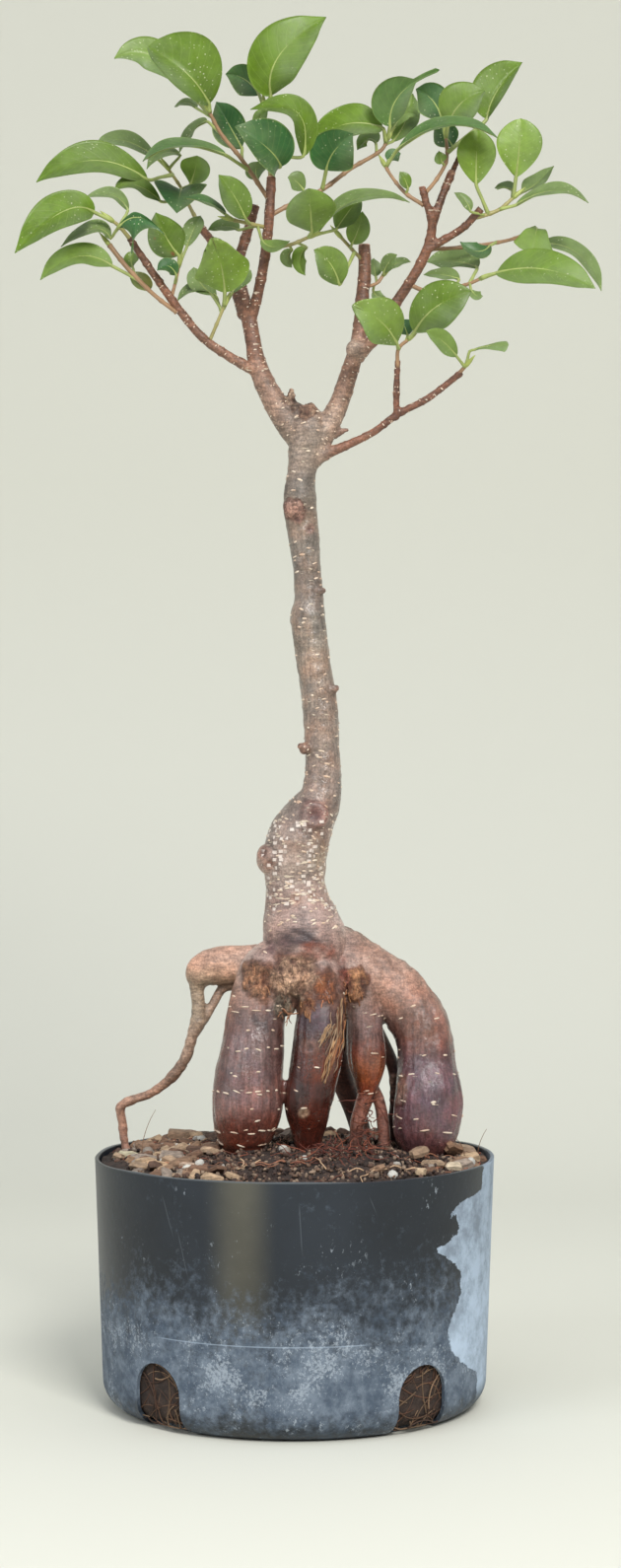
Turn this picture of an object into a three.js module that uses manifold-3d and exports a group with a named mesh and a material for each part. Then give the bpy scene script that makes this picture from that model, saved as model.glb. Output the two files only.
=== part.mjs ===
// Ginseng ficus in a cut-down nursery pot: millimetres, +Z up.
// The origin is on the surface that the pot stands on, below the middle of its rim.

import * as THREE from 'three';
import * as BufferGeometryUtils from 'three/addons/utils/BufferGeometryUtils.js';
import Module from 'manifold-3d';

const wasm = await Module();
wasm.setup();

// Driving dimensions

const POT_HEIGHT = 93;
const POT_RIM_RADIUS = 75;
const POT_FOOT_RADIUS = 72;
const POT_CORNER = 10;
const CORNER_STEPS = 3;
const POT_WALL = 1.5;
const POT_SIDES = 36;
const NOTCH_WIDTH = 22;
const NOTCH_HEIGHT = 25;
const NOTCH_REACH = 20;
const NOTCH_ANGLES = [-43, 40, 137, 220];

// How far a cutting block starts below what it cuts
const BELOW = 5;

const CLEARANCE = 0.35;
const SOIL_EDGE = 90.5;
const SOIL_MIDDLE = 96;
const SOIL_RINGS = [58, 40, 20];
const CHIP_COUNT = 22;
const CHIP_LENGTH = 13;
const CHIP_TILT = 0.45;
const CHIP_MIDDLE_REACH = 66;
const CHIP_END_REACH = 71;
const CHIP_SEED = 11;

const BLADE_THICKNESS = 0.7;
const PETIOLE_RADIUS = 0.75;
const THICK_LIMB = 8.5;
const TWIG_SIDES = 5;
const STUB_SIDES = 5;
const BRANCH_SIDES = 7;
const ROOT_SIDES = 10;

// A place on the plant is written as [x, z, depth]: x and z as they look on the plane y = 0 from the
// viewpoint, and how far the place lies behind that plane.
const VIEWPOINT = new THREE.Vector3(6, -1035, 232);

function seen(x, z, depth) {
  const onPlane = new THREE.Vector3(x, 0, z);
  return VIEWPOINT.clone().lerp(onPlane, 1 - depth / VIEWPOINT.y);
}

// The sides of a leaf's rings that lie on its lower face
const UNDER_SIDES = [3, 4];

// Places along a blade: the share of its length from base to tip, and of its half width there
const BLADE_OUTLINE = [[0.1, 0.54], [0.32, 0.95], [0.58, 1], [0.82, 0.6]];

// Wood: each limb is a list of stations [x, z, depth, radius]

const TRUNK = [
  [5, 157, 2, 8], [5.5, 165, 0, 13], [4.6, 171, 0, 15.6], [3, 177.5, 0, 14.8], [1.2, 186.6, 0, 12.1],
  [0.2, 196, 0, 11], [0.2, 203.7, 0, 11.9], [1.4, 211, 0, 11.7], [5.3, 218.9, 0, 9.9],
  [9, 225, 0, 8.1], [10.5, 232, 0, 7], [10.4, 247.2, 0, 6.6], [9.5, 262.3, 0, 6.7],
  [7.4, 276.5, 0, 6.4], [5.5, 289.4, 0, 6.5], [4.9, 295, 0, 6.6], [5.5, 299.3, 0, 5.7],
  [4.1, 319.2, 0, 5.5], [3.2, 328, 0, 6], [2, 339.6, 0, 6.2], [2.7, 349.2, 0, 5.4],
  [5, 361, 0, 7.2], [4.5, 367, 0, 7.4], [2, 373, 0, 5],
];

const ROOTS = [
  [
    [-2, 168, -1, 9], [-8.5, 162, -4, 10.8], [-13, 153, -8, 10.7], [-14.6, 144, -10, 10.9],
    [-15.6, 134, -11, 11.5], [-17.2, 119, -11, 12.9], [-18, 111, -11, 13], [-18.3, 104.5, -10, 11.6],
    [-19.4, 97.5, -9, 8], [-18, 80, -8, 4], [-16, 66, -7, 2],
  ],
  [
    [6, 168, -2, 9], [9, 158, -8, 9.3], [10, 148, -12, 8.8], [9.6, 140, -13, 9.1],
    [8.4, 129.8, -13, 9.3], [6.8, 122, -13, 9.2], [5.6, 113.7, -13, 8.8], [5.1, 107.7, -12, 7.8],
    [4.7, 101, -11, 6], [5, 93, -11, 4], [6, 82, -10, 3], [8, 68, -9, 1.8],
  ],
  [
    [16, 166, 0, 8], [22.6, 157, -3, 8], [25.8, 147, -4, 6.4], [26.8, 136, -4, 7],
    [27.3, 128.5, -4, 7.5], [27.4, 121.5, -4, 5.4], [27.4, 116.5, -4, 3.6], [25.4, 110, -4, 3],
    [23.4, 103, -4, 2.8], [22.4, 92, -3, 2.6], [22, 80, -2, 1.8],
  ],
  [
    [6, 168, 3, 10], [14, 168, 4, 11], [24, 163, 3, 11], [37, 154.4, 3, 11.3], [45.6, 144, 1, 10.9],
    [49.2, 134.4, 0, 10.7], [49.9, 125.5, -1, 11.2], [50.3, 116.7, -3, 12.5], [49.9, 107.8, -3, 12.8],
    [49.6, 100.7, -3, 11.2], [49.6, 93, -3, 7.6], [48, 80, -3, 4.4], [44, 66, -3, 2],
  ],
  [
    [-4, 165, 3, 8], [-16, 164.2, 4, 7.2], [-28.6, 163.6, 4, 7.1], [-35, 161.4, 4, 6],
    [-36.6, 156, 4, 3], [-36.2, 148, 4, 2.5], [-36.4, 142.4, 4, 3], [-38.4, 137.5, 4, 2.2],
    [-41, 129, 6, 2.1], [-46.4, 121.5, 9, 2], [-54.4, 115.4, 13, 1.7], [-60.6, 113.2, 16, 1.7],
    [-65.4, 110.6, 18, 1.8], [-64.8, 104, 19, 1.7], [-64, 97, 19, 1.6], [-60, 82, 17, 1.4],
  ],
  [[-19, 157, 6, 3], [-26.6, 155.4, 6, 1.9], [-30.8, 149, 5, 1.7], [-34.4, 142.6, 4.4, 1.6], [-38, 138.4, 4, 1.2]],
  [
    [12, 160, 14, 8], [15, 140, 17, 5.5], [17.4, 123, 16, 4.4], [23, 108, 14, 4], [26, 96, 12, 3.6],
    [27, 80, 11, 2],
  ],
  [[27, 121, -1, 3], [31.6, 113, 1, 2.2], [33.4, 104, 2, 2.4], [34, 92, 2, 2.2], [34, 80, 2, 1.4]],
  [
    [27, 144, 0, 4], [33, 134, 6, 3], [37, 126, 10, 2.4], [38.4, 115, 12, 2.4], [37.4, 104, 13, 2.5],
    [35, 84, 13, 2],
  ],
  [[-1, 170, -2, 9], [-3, 160, -6, 8], [-3.4, 152, -9, 5.6], [-3, 146.5, -11, 2.6]],
];

const BRANCHES = [
  [
    [3, 362, 0, 6], [-3, 369, 0, 5], [-8.2, 377, 1, 4.3], [-13.7, 389, 2, 3.6], [-15.6, 398, 3, 2.9],
    [-17.1, 407, 4, 3], [-19.4, 416, 8, 2.3], [-21, 428, 12, 2.1], [-18, 439, 14, 1.9],
    [-14.6, 450, 16, 1.7],
  ],
  [
    [-16.9, 405, 4, 2.2], [-14, 416, 1, 2], [-11.7, 427, -1, 1.9], [-10.4, 437, -2, 1.9],
    [-9.5, 446, -3, 1.9], [-8.7, 461, -3, 1.7],
  ],
  [[-19.4, 409, 6, 2.2], [-23.1, 421, 12, 2], [-28.9, 433, 18, 1.8], [-35.6, 442, 23, 1.5]],
  [
    [-13.4, 387, 2, 2.2], [-17.6, 389, 0, 2], [-33.4, 399, -5, 1.7], [-42.2, 409, -8, 1.6],
    [-52, 422.5, -13, 1.5], [-62.5, 438, -19, 1.3],
  ],
  [
    [7, 358, 0, 5.5], [12.5, 367, 0, 4.4], [17.4, 377, 0, 3.6], [20.9, 388, 1, 3.3],
    [23.5, 396, 1, 3], [24.9, 407, 2, 2.6], [25.6, 416, 3, 2.5], [26.4, 425, 4, 2.4],
    [26.2, 435, 5, 2.3],
  ],
  [
    [24, 393, 1, 2.6], [27.5, 397, -2, 2.3], [32.3, 402, -5, 2.2], [38.5, 413.5, -7, 2],
    [45.3, 424, -9, 1.9], [50.6, 435.4, -11, 1.9], [51.8, 443.7, -13, 1.7],
    [49.6, 451, -15, 1.4], [47.9, 457.4, -16, 1.3],
  ],
  [[51.4, 440, -12, 1.6], [54.4, 450, -13, 1.5], [59, 462, -13, 1.5]],
  [[50.2, 433.5, -11, 1.7], [56, 436.8, -12, 1.5], [63.5, 441.5, -14, 1.4], [70.4, 448.8, -17, 1.4]],
  [
    [4, 352, 0, 4], [11, 356, -2, 2.4], [21.8, 360.5, -4, 1.6], [30.4, 365, -6, 1.4],
    [38.4, 371, -8, 1.4], [49.8, 377, -11, 1.3], [63.2, 387.2, -16, 1.2],
  ],
  [[38.3, 370, -8, 1.2], [38.4, 380.6, -10, 1.2], [38.9, 392, -12, 1.1]],
  [[58.6, 460, -13, 1.3], [61, 466, -12, 0.9], [62.8, 469.5, -11, 0.7]],
];

const STUBS = [
  [[-1, 372, 0, 3.6], [-1.5, 381, -1, 0.5]],
  [[4.5, 368, -1, 4.4], [6, 375, -2, 0.6]],
  [[15, 364, 0, 2], [20.6, 365.6, 0, 0.4]],
  [[14, 267.5, -3, 2], [16.6, 268.4, -4, 0.8]],
  [[4, 245.4, -4, 2.2], [1.6, 246.6, -6, 0.9]],
  [[9, 304.6, -3, 1.8], [11.6, 305, -4, 0.7]],
];

// Swollen knots and branch scars: [x, z, depth, radius]
const KNOBS = [
  [-7.5, 203.7, -2, 6.6], [7.2, 219.6, -5, 6], [0, 336.5, -3.5, 4.2], [23.2, 395.6, -1, 3.6],
];

// Sprays: each has its twigs as limbs, and leaves written as
// [petiole's foot, blade's base, middle of the midrib, tip, width, roll, cup].
// Roll turns the upper face from the viewer towards the sky, and cup lifts the two margins.

const SPRAYS = {
  top_left: {
    twigs: [
      [[-10, 452.5, -3, 1.1], [-20, 467.3, -5, 1], [-27.8, 477, -8, 0.9], [-32.3, 485.5, -11, 0.8]],
    ],
    leaves: [
      [[-32, 485, -11], [-32.2, 488, -13], [-41, 500, -21], [-55.3, 509.5, -19], 22, 10, 0.15],
      [[-32, 484, -10], [-41, 494, 0], [-54, 506.5, 4], [-67.9, 505.2, 0], 13, 10, 0.2],
      [[-20, 467.3, -5], [-19.8, 471.5, -1], [-24.5, 480, 2], [-29.5, 488.9, 4], 14, -25, 0.2],
      [[-27.8, 477, -8], [-33, 481.5, 0], [-38.5, 478, 4], [-43.5, 469.5, 6], 9, 55, 0.2],
      [[-31, 483, -10], [-37, 486.5, -3], [-41, 488.5, 0], [-45.2, 487, 3], 7, 50, 0.1],
      [[-17, 463, -4], [-26, 468.8, -11], [-42.7, 472.4, -17], [-57.2, 466.5, -23], 15, 62, 0.2],
      [[-14, 458.5, -3.6], [-13.8, 459.4, 3], [-14.6, 463, 6], [-13.6, 466.4, 7], 8, 10, 0.2],
    ],
  },
  top_centre: {
    twigs: [[[-8.9, 458, -3, 1.2], [-9.5, 468, -3, 1.1], [-11, 480, -2, 1], [-11.5, 487, -2, 0.9]]],
    leaves: [
      [[-11.5, 487, -2], [-8.9, 491, -4], [-5.6, 506.6, -10], [11.9, 520.8, -8], 21.5, 10, 0.2],
      [[-11.5, 486, -2], [-13.3, 491.5, 4], [-18.9, 497.4, 8], [-26, 499.3, 9], 12, -30, 0.2],
      [[-9.5, 468, -3], [3.2, 468.4, -10], [0.8, 485, -17], [-16.7, 486, -15], 14, 40, 0.2],
      [[-9.3, 464, -3], [-5.4, 464.5, -11], [-10.4, 471.6, -19], [-22.5, 479.6, -24], 20.5, 25, 0.4],
      [[-10.5, 476, -2], [-14.6, 478.8, -6], [-13, 482.8, -9], [-10, 486, -10], 6, 20, 0.1],
    ],
  },
  centre_left: {
    twigs: [[[-10.2, 441.5, -2, 1], [-17, 443, -6, 0.9], [-23.5, 444.5, -9, 0.8]]],
    leaves: [
      [[-17, 443, -6], [-18.5, 444.8, -10], [-22.6, 453.2, -15], [-28.6, 461.4, -17], 11.5, 15, 0.2],
      [[-23, 444.4, -9], [-26, 446.5, -10], [-33, 451, -12], [-41.6, 452.6, -14], 9, 60, 0.2],
      [[-14, 442.3, -4], [-21, 440.6, -1], [-26.4, 442, 1], [-32.7, 440.6, 2], 9, 45, 0.2],
      [[-14, 442.3, -4], [-12.4, 437, -8], [-8.2, 434.3, -10], [-1.8, 436.5, -11], 7, 35, 0.2],
    ],
  },
  mid_right: {
    twigs: [[[-10.4, 434.5, -3, 1], [-2, 435, -8, 0.9], [5.5, 438, -12, 0.8]]],
    leaves: [
      [[5.5, 438, -12], [6.5, 440, -15], [6, 448, -25], [5.4, 456.3, -31], 19, 5, 0.2],
      [[5.5, 438, -12], [8.8, 440.2, -14], [24, 452.4, -20], [43.4, 451, -22], 13, 58, 0.2],
      [[5.5, 438, -12], [15.8, 441, -10], [20.4, 447.6, -9], [25, 453.6, -9], 10, 15, 0.2],
      [[1, 436, -10], [4.6, 434, -4], [2, 429.5, -1], [4, 423.5, 0], 7, 35, 0.2],
      [[-2, 435, -8], [-1, 433, -3], [-2.6, 430, 0], [-1, 426.5, 1], 6, 30, 0.2],
    ],
  },
  centre_upper: {
    twigs: [
      [
        [-9.3, 446, -3, 1.2], [-3.5, 449.2, -1, 1.1], [10.4, 455.8, 4, 1.1], [21, 463.6, 6, 1],
        [33, 471, 6, 0.9], [34.9, 474.5, 6, 0.8],
      ],
    ],
    leaves: [
      [[34.5, 473.5, 6], [33.4, 478.8, 3], [20, 480.6, 0], [6, 473.8, 3], 18.5, 35, 0.2],
      [[10.4, 455.8, 4], [11.9, 463.2, -1], [15, 470.4, -6], [22, 477, -9], 18, -12, 0.35],
      [[34.9, 474.5, 6], [35.9, 479.6, 2], [40, 492, -3], [54.6, 500.9, -8], 15.5, -12, 0.2],
      [[34.9, 474.5, 6], [37.4, 479, 7], [42, 484.3, 8], [46.8, 483, 7], 8, 40, 0.1],
      [[34, 472.8, 6], [37, 474, 10], [42, 482, 14], [44.5, 492, 15], 11, 20, 0.2],
      [[31, 470, 6], [30.6, 473.4, 11], [27.6, 474.8, 14], [23.6, 470.8, 15], 9, 35, 0.2],
      [[2, 452, 1], [3.4, 455.6, -2], [0.5, 459, -4], [-2.6, 460.4, -5], 8, 20, 0.2],
    ],
  },
  right_inner: {
    twigs: [[[48.6, 450, -14.6, 1], [42, 454.3, -13, 0.9], [36.4, 461, -9, 0.8], [34.2, 464.7, -7, 0.8]]],
    leaves: [
      [[34.4, 464.4, -7], [38.6, 470.6, -12], [57.4, 480.2, -28], [76.5, 475.3, -32], 15, 60, 0.2],
      [[42, 454.3, -13], [42.7, 456.2, -15], [41.6, 459.6, -17], [39.7, 462.6, -17], 5, 15, 0.1],
      [[34.6, 464, -7], [35.2, 466.6, -5], [37.2, 468.6, -3], [40, 469.4, -2], 6, 10, 0.1],
    ],
  },
  right_top: {
    twigs: [
      [
        [48.8, 454, -15.4, 1], [53, 459, -16, 0.9], [57, 466, -16, 0.9], [57.4, 471, -14, 0.8],
        [57, 475.5, -13, 0.8],
      ],
    ],
    leaves: [
      [[57, 475.3, -13], [55.6, 481.8, -6], [52, 489.4, -2], [45.7, 493.7, 0], 13, -20, 0.2],
      [[57, 475.5, -13], [58, 480.4, -15], [63, 488.6, -19], [71.7, 493, -19], 16, 12, 0.2],
      [[57.4, 469.6, -14.4], [72.4, 482.4, -8], [76.6, 493.4, -9], [85.8, 503.7, -8], 17, 10, 0.2],
      [[57.4, 470, -14.4], [59.6, 472, -6], [57, 476, -3], [52.7, 480.3, -2], 10, -10, 0.2],
      [[56.4, 465, -16], [55.6, 466, -19], [55, 467.6, -20], [54.4, 470.4, -20], 5, 10, 0.1],
    ],
  },
  right_outer: {
    twigs: [[[67, 445, -15.4, 1.1], [71, 446, -15, 1], [77.3, 448.4, -15, 0.9], [82.4, 452.8, -15, 0.8]]],
    leaves: [
      [[73, 446.6, -15], [68.4, 457.7, -19], [68.5, 467.8, -22], [69, 478.4, -22], 14.5, 5, 0.1],
      [[82.4, 452.8, -15], [83.4, 460.4, -16], [84.6, 471.5, -19], [85.2, 482.6, -19], 17, 5, 0.1],
      [[82.4, 452.8, -15], [86, 455, -12], [91.4, 458.4, -9], [97.7, 464.7, -8], 9, 45, 0.3],
      [[82, 452.4, -15], [82, 455.6, -11], [79, 456.8, -7], [75.4, 456.4, -5], 7, 45, 0.2],
      [[77.3, 448.4, -15], [83.4, 450, -18], [98, 455.4, -23], [110.7, 450.8, -25], 12, 58, 0.2],
      [[71.6, 446.2, -15], [66.2, 447.6, -20], [64.3, 451.7, -21], [60.2, 454.7, -20], 5, 30, 0.1],
    ],
  },
  right_mid: {
    twigs: [
      [
        [51, 433.4, -9, 1], [56, 433.6, -5, 0.9], [69.5, 434.8, -3, 0.9], [81, 436.9, -5, 0.8],
        [85.4, 438.4, -6, 0.8],
      ],
    ],
    leaves: [
      [[76, 436, -4], [73.5, 434.6, -8], [68.7, 432.6, -11], [62.4, 436.2, -11], 8, 30, 0.2],
      [[85.4, 438.4, -6], [91, 440.4, -7], [91, 439.8, -13], [89.2, 431.4, -18], 20, 0, 0.3],
      [[85.4, 438.4, -6], [93, 435.4, -4], [107, 431.6, -3], [115.6, 417.6, -2], 11, 45, 0.2],
    ],
  },
  right_lower: {
    twigs: [
      [
        [43.4, 420, -8.4, 1.1], [50, 417.5, -10, 1], [58, 418.4, -12, 0.9], [66, 420.5, -14, 0.8],
        [70, 422.3, -15, 0.8],
      ],
    ],
    leaves: [
      [[70, 422.3, -15], [76, 424.4, -18], [94.4, 425.8, -30], [113.3, 418.6, -32], 16.5, 26, 0.2],
      [[66, 420.5, -14], [68.8, 426.4, -6], [60.5, 428.8, 3], [49.6, 428.6, 4], 13, 35, 0.2],
      [[60, 418.8, -12.4], [62, 422, -8], [56.1, 423.7, -5], [48.6, 423.8, -3], 8, 45, 0.2],
      [[66, 420.5, -14], [66.4, 418.4, -16], [68.4, 416, -18], [70.9, 415.8, -19], 5, 30, 0.1],
    ],
  },
  lower_right: {
    twigs: [[[38.8, 389, -11.6, 1], [39.2, 396, -14, 0.9], [43, 399.5, -15, 0.8]]],
    leaves: [
      [[39.2, 396, -14], [38.6, 397.6, -18], [33.1, 405.6, -27], [24.5, 411, -31], 17.5, 5, 0.2],
      [[43, 399.5, -15], [45.3, 402.4, -17], [53.5, 411.8, -25], [66.5, 417.6, -27], 17.5, 5, 0.1],
      [[42, 398.6, -15], [42.6, 401, -11], [41.6, 404, -9], [40.5, 407, -8], 8, 0, 0.2],
    ],
  },
  far_right_low: {
    twigs: [[[61.4, 386, -15.2, 1], [64.4, 389.4, -18, 0.9]]],
    leaves: [
      [[64.2, 389, -18], [60.9, 393.2, -21], [55.7, 398.8, -28], [49.4, 402.6, -32], 8, 15, 0.2],
      [[64.4, 389.4, -18], [66, 395, -19], [73, 397, -23], [80.6, 397.4, -25], 8, 40, -0.3],
    ],
  },
  heart: {
    twigs: [[[-32.2, 398.4, -4.6, 0.9], [-29, 406, -7, 0.8], [-26.5, 412, -8, 0.8]]],
    leaves: [
      [[-26.5, 412, -8], [-26.3, 417.2, -11], [-27.4, 426, -19], [-29.5, 433.5, -26], 21, 0, 0.2],
      [[-27.5, 409.6, -7.6], [-29.6, 415.6, -3], [-37, 419, 0], [-44.2, 413.8, 1], 9, 50, 0.2],
      [[-27.2, 410.2, -7.6], [-31, 416, -5], [-36, 421.4, 0], [-38, 426.6, 2], 9, 10, 0.2],
      [[-26.8, 411, -8], [-23.6, 416.8, -7], [-19.6, 422.6, -6], [-16.4, 425.4, -5], 8, 25, 0.2],
    ],
  },
  left_tip: {
    twigs: [[[-61, 436, -18, 1.1], [-66, 442, -21, 0.9], [-68.5, 444, -22, 0.8]]],
    leaves: [
      [[-68.5, 444, -22], [-75.7, 447.4, -25], [-88, 447.2, -34], [-105.4, 431.9, -38], 17, 24, 0.2],
      [[-66, 442, -21], [-62.8, 448, -18], [-69, 453.8, -19], [-79.1, 452.6, -21], 9, 52, 0.2],
      [[-66, 442, -21], [-69.4, 437.4, -19], [-76, 441, -22], [-88, 434.3, -24], 10, 50, 0.2],
      [[-66, 442, -21], [-66.4, 441.8, -26], [-58.4, 445.4, -30], [-49, 439, -31], 14, 5, 0.2],
    ],
  },
  left_mid: {
    twigs: [[[-46.6, 414.4, -10, 0.9], [-45, 420.5, -11, 0.8], [-43.6, 427, -12, 0.8]]],
    leaves: [
      [[-43.6, 427, -12], [-43.6, 431, -14], [-48.4, 438, -18], [-52.3, 447.2, -20], 14, -5, 0.2],
      [[-45, 420.5, -11], [-44.6, 423.6, -15], [-47.6, 427, -18], [-51.8, 425.4, -19], 7, 25, 0.2],
      [[-43.6, 427, -12], [-40.6, 434.3, -9], [-38, 441, -6], [-35.4, 446, -4], 9, 30, 0.2],
    ],
  },
  left_lower: {
    twigs: [
      [[-44.4, 409.6, -8.6, 1.1], [-52.7, 416, -12, 1], [-62.4, 425.7, -16, 1.1], [-69.8, 435, -17, 1.2]],
    ],
    leaves: [
      [[-58, 421.4, -14], [-68.6, 427, -18], [-82, 430.6, -23], [-95.8, 421.8, -27], 13, 38, 0.2],
      [[-52.7, 416, -12], [-55, 417.6, -7], [-58, 421, -5], [-62.4, 424.6, -5], 8, 30, 0.2],
      [[-60, 423.4, -15], [-61, 426.6, -10], [-61.6, 429.6, -8], [-60.8, 432.8, -7], 6, 10, 0.1],
    ],
  },
  left_back: {
    twigs: [
      [
        [-34.6, 440.4, 22.4, 1.1], [-39.3, 449, 24, 0.9], [-42.5, 456, 22, 0.8],
        [-47.5, 463.5, 18, 0.8],
      ],
    ],
    leaves: [
      [[-46, 461.4, 19], [-55.3, 459.5, 6], [-76, 466.8, -4], [-97.3, 458.6, -9], 17, 32, 0.2],
      [[-47.5, 463.5, 18], [-52, 467.7, 17], [-64.6, 474.4, 16], [-74.6, 472.8, 14], 10, 40, 0.2],
      [[-40.8, 452, 23], [-50.5, 451.4, 8], [-59.8, 457.4, 1], [-67.9, 455.4, -4], 10, 40, 0.2],
      [[-42.5, 456, 22], [-42.6, 455.4, 15], [-43.2, 454, 6], [-44.4, 447, -1], 20, 0, 0.45],
      [[-47.5, 463.5, 18], [-43, 468.8, 14], [-49.6, 469.4, 10], [-55.7, 463.6, 8], 8, 45, 0.2],
      [[-42.5, 456, 22], [-39.3, 457.6, 16], [-37.4, 463.6, 10], [-36.8, 468.6, 6], 12, 5, 0.1],
    ],
  },
  fork_left: {
    twigs: [[[25.8, 429, 4, 0.9], [21, 434, 0, 0.8], [17.4, 438, -2, 0.8]]],
    leaves: [
      [[21, 434, 0], [21.6, 435.4, -3], [24, 441, -6], [25.6, 447.6, -8], 9, -15, 0.2],
      [[22.6, 432.4, 1], [16.9, 420, -7], [13.4, 428, -12], [7.3, 433.2, -14], 12, 5, 0.2],
    ],
  },
  fork_right: {
    twigs: [[[26, 419, 3.4, 0.9], [31, 420.6, 6, 0.8], [33.4, 423.6, 7, 0.8]]],
    leaves: [
      [[31, 420.6, 6], [30.6, 423, 9], [30, 426.4, 11], [29.8, 430, 12], 6, 20, 0.2],
      [[33.4, 423.6, 7], [35, 425, 8], [39, 428.2, 9], [43.8, 428.6, 9], 6, 45, 0.2],
      [[33.4, 423.6, 7], [33.6, 424.6, 5], [35.6, 428.6, 3], [38.6, 431.4, 2], 6, 20, 0.2],
      [[30, 420.4, 5.6], [29.6, 417.6, 8], [31.4, 415.6, 9], [34.2, 415.6, 9], 5, 10, 0.1],
    ],
  },
};

// Solids from meshes and back

function meshOf(positions, triangles) {
  const geometry = new THREE.BufferGeometry();
  geometry.setAttribute('position', new THREE.Float32BufferAttribute(positions, 3));
  geometry.setIndex(triangles);
  return geometry;
}

function solidOf(geometry) {
  const bare = geometry.clone();
  bare.deleteAttribute('normal');
  bare.deleteAttribute('uv');
  const merged = BufferGeometryUtils.mergeVertices(bare, 1e-4);
  const vertProperties = new Float32Array(merged.attributes.position.array);
  const triVerts = new Uint32Array(merged.index.array);
  return new wasm.Manifold(new wasm.Mesh({ numProp: 3, vertProperties, triVerts }));
}

function geometryOf(solid) {
  const mesh = solid.getMesh();
  return meshOf(Array.from(mesh.vertProperties), Array.from(mesh.triVerts));
}

function joined(solids) {
  return solids.reduce((sum, solid) => sum.add(solid));
}

function largestBody(solid) {
  const bodies = solid.decompose();
  return bodies.reduce((best, body) => (body.volume() > best.volume() ? body : best));
}

// Skins rings of points, in order round the way they run; a last ring of one point is a tip.
// The sides listed as slanted back are split along their other diagonal.
function loft(rings, slantedBack = []) {
  const sides = rings[0].length;
  const positions = rings.flat().flatMap((point) => point.toArray());
  const triangles = [];
  rings.slice(1).forEach((ring, before) => {
    for (let side = 0; side < sides; side += 1) {
      const here = before * sides + side;
      const beside = before * sides + ((side + 1) % sides);
      if (ring.length === 1) {
        triangles.push(here, beside, (before + 1) * sides);
      } else if (slantedBack.includes(side)) {
        triangles.push(here, beside, here + sides, beside, beside + sides, here + sides);
      } else {
        triangles.push(here, beside, beside + sides, here, beside + sides, here + sides);
      }
    }
  });
  const last = (rings.length - 1) * sides;
  for (let side = 1; side < sides - 1; side += 1) {
    triangles.push(0, side + 1, side);
    if (rings.at(-1).length > 1) {
      triangles.push(last, last + side, last + side + 1);
    }
  }
  return solidOf(meshOf(positions, triangles));
}

// A round limb swept through its stations, with flat ends
function limb(stations, sides, extraRadius = 0) {
  const centres = stations.map(([x, z, depth]) => seen(x, z, depth));
  const path = new THREE.CatmullRomCurve3(centres, false, 'centripetal');
  const normal = new THREE.Vector3(0, 1, 0);
  const rings = stations.map(([, , , radius], index) => {
    const share = index / (stations.length - 1);
    const tangent = path.getTangent(share);
    normal.addScaledVector(tangent, -normal.dot(tangent)).normalize();
    const binormal = new THREE.Vector3().crossVectors(tangent, normal);
    return Array.from({ length: sides }, (_, side) => {
      const angle = (side / sides) * 2 * Math.PI;
      const point = path.getPoint(share);
      point.addScaledVector(normal, (radius + extraRadius) * Math.cos(angle));
      return point.addScaledVector(binormal, (radius + extraRadius) * Math.sin(angle));
    });
  });
  return loft(rings);
}

// The directions of a blade at one place: up out of its upper face, and sideways to its margin
function bladeFrame(tangent, chord, roll) {
  const toViewer = new THREE.Vector3(0, -1, 0);
  const facing = toViewer.clone().addScaledVector(tangent, -toViewer.dot(tangent)).normalize();
  const across = new THREE.Vector3().crossVectors(tangent, facing);
  const skyward = new THREE.Vector3().crossVectors(chord, toViewer).z < 0 ? -1 : 1;
  const angle = THREE.MathUtils.degToRad(roll);
  const up = facing.multiplyScalar(Math.cos(angle)).addScaledVector(across, skyward * Math.sin(angle));
  return { up, side: new THREE.Vector3().crossVectors(tangent, up) };
}

// Six points round a blade or a petiole: over the upper face, then back under the lower one
function sixRound(centre, { up, side }, spots) {
  return spots.map(([sideways, upwards]) => (
    centre.clone().addScaledVector(side, sideways).addScaledVector(up, upwards)
  ));
}

function petioleRing(centre, frame) {
  const spots = [150, 90, 30, -30, -90, -150].map((degrees) => {
    const angle = THREE.MathUtils.degToRad(degrees);
    return [PETIOLE_RADIUS * Math.cos(angle), PETIOLE_RADIUS * Math.sin(angle)];
  });
  return sixRound(centre, frame, spots);
}

function bladeRing(centre, frame, half, lift) {
  const skin = BLADE_THICKNESS / 2;
  return sixRound(centre, frame, [
    [-half, lift + skin], [0, skin], [half, lift + skin],
    [half, lift - skin], [0, -skin], [-half, lift - skin],
  ]);
}

// A petiole that opens out into its blade, and ends in the blade's tip
function leaf(row) {
  const [foot, base, middle, tip] = row.slice(0, 4).map((place) => seen(...place));
  const [width, roll, cup] = row.slice(4);
  const control = middle.clone().multiplyScalar(2).addScaledVector(base, -0.5).addScaledVector(tip, -0.5);
  const midrib = new THREE.QuadraticBezierCurve3(base, control, tip);
  const chord = tip.clone().sub(base);
  const baseFrame = bladeFrame(midrib.getTangent(0), chord, roll);
  const rings = [petioleRing(foot, turnedTo(base.clone().sub(foot), baseFrame))];
  rings.push(petioleRing(base, baseFrame));
  for (const [share, breadth] of BLADE_OUTLINE) {
    const half = (breadth * width) / 2;
    const frame = bladeFrame(midrib.getTangent(share), chord, roll);
    rings.push(bladeRing(midrib.getPoint(share), frame, half, half * cup));
  }
  rings.push([tip]);
  return loft(rings, UNDER_SIDES);
}

// The same frame, turned so that it stands square to another direction
function turnedTo(direction, { side }) {
  const tangent = direction.normalize();
  const square = side.clone().addScaledVector(tangent, -side.dot(tangent)).normalize();
  return { up: new THREE.Vector3().crossVectors(square, tangent), side: square };
}

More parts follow.
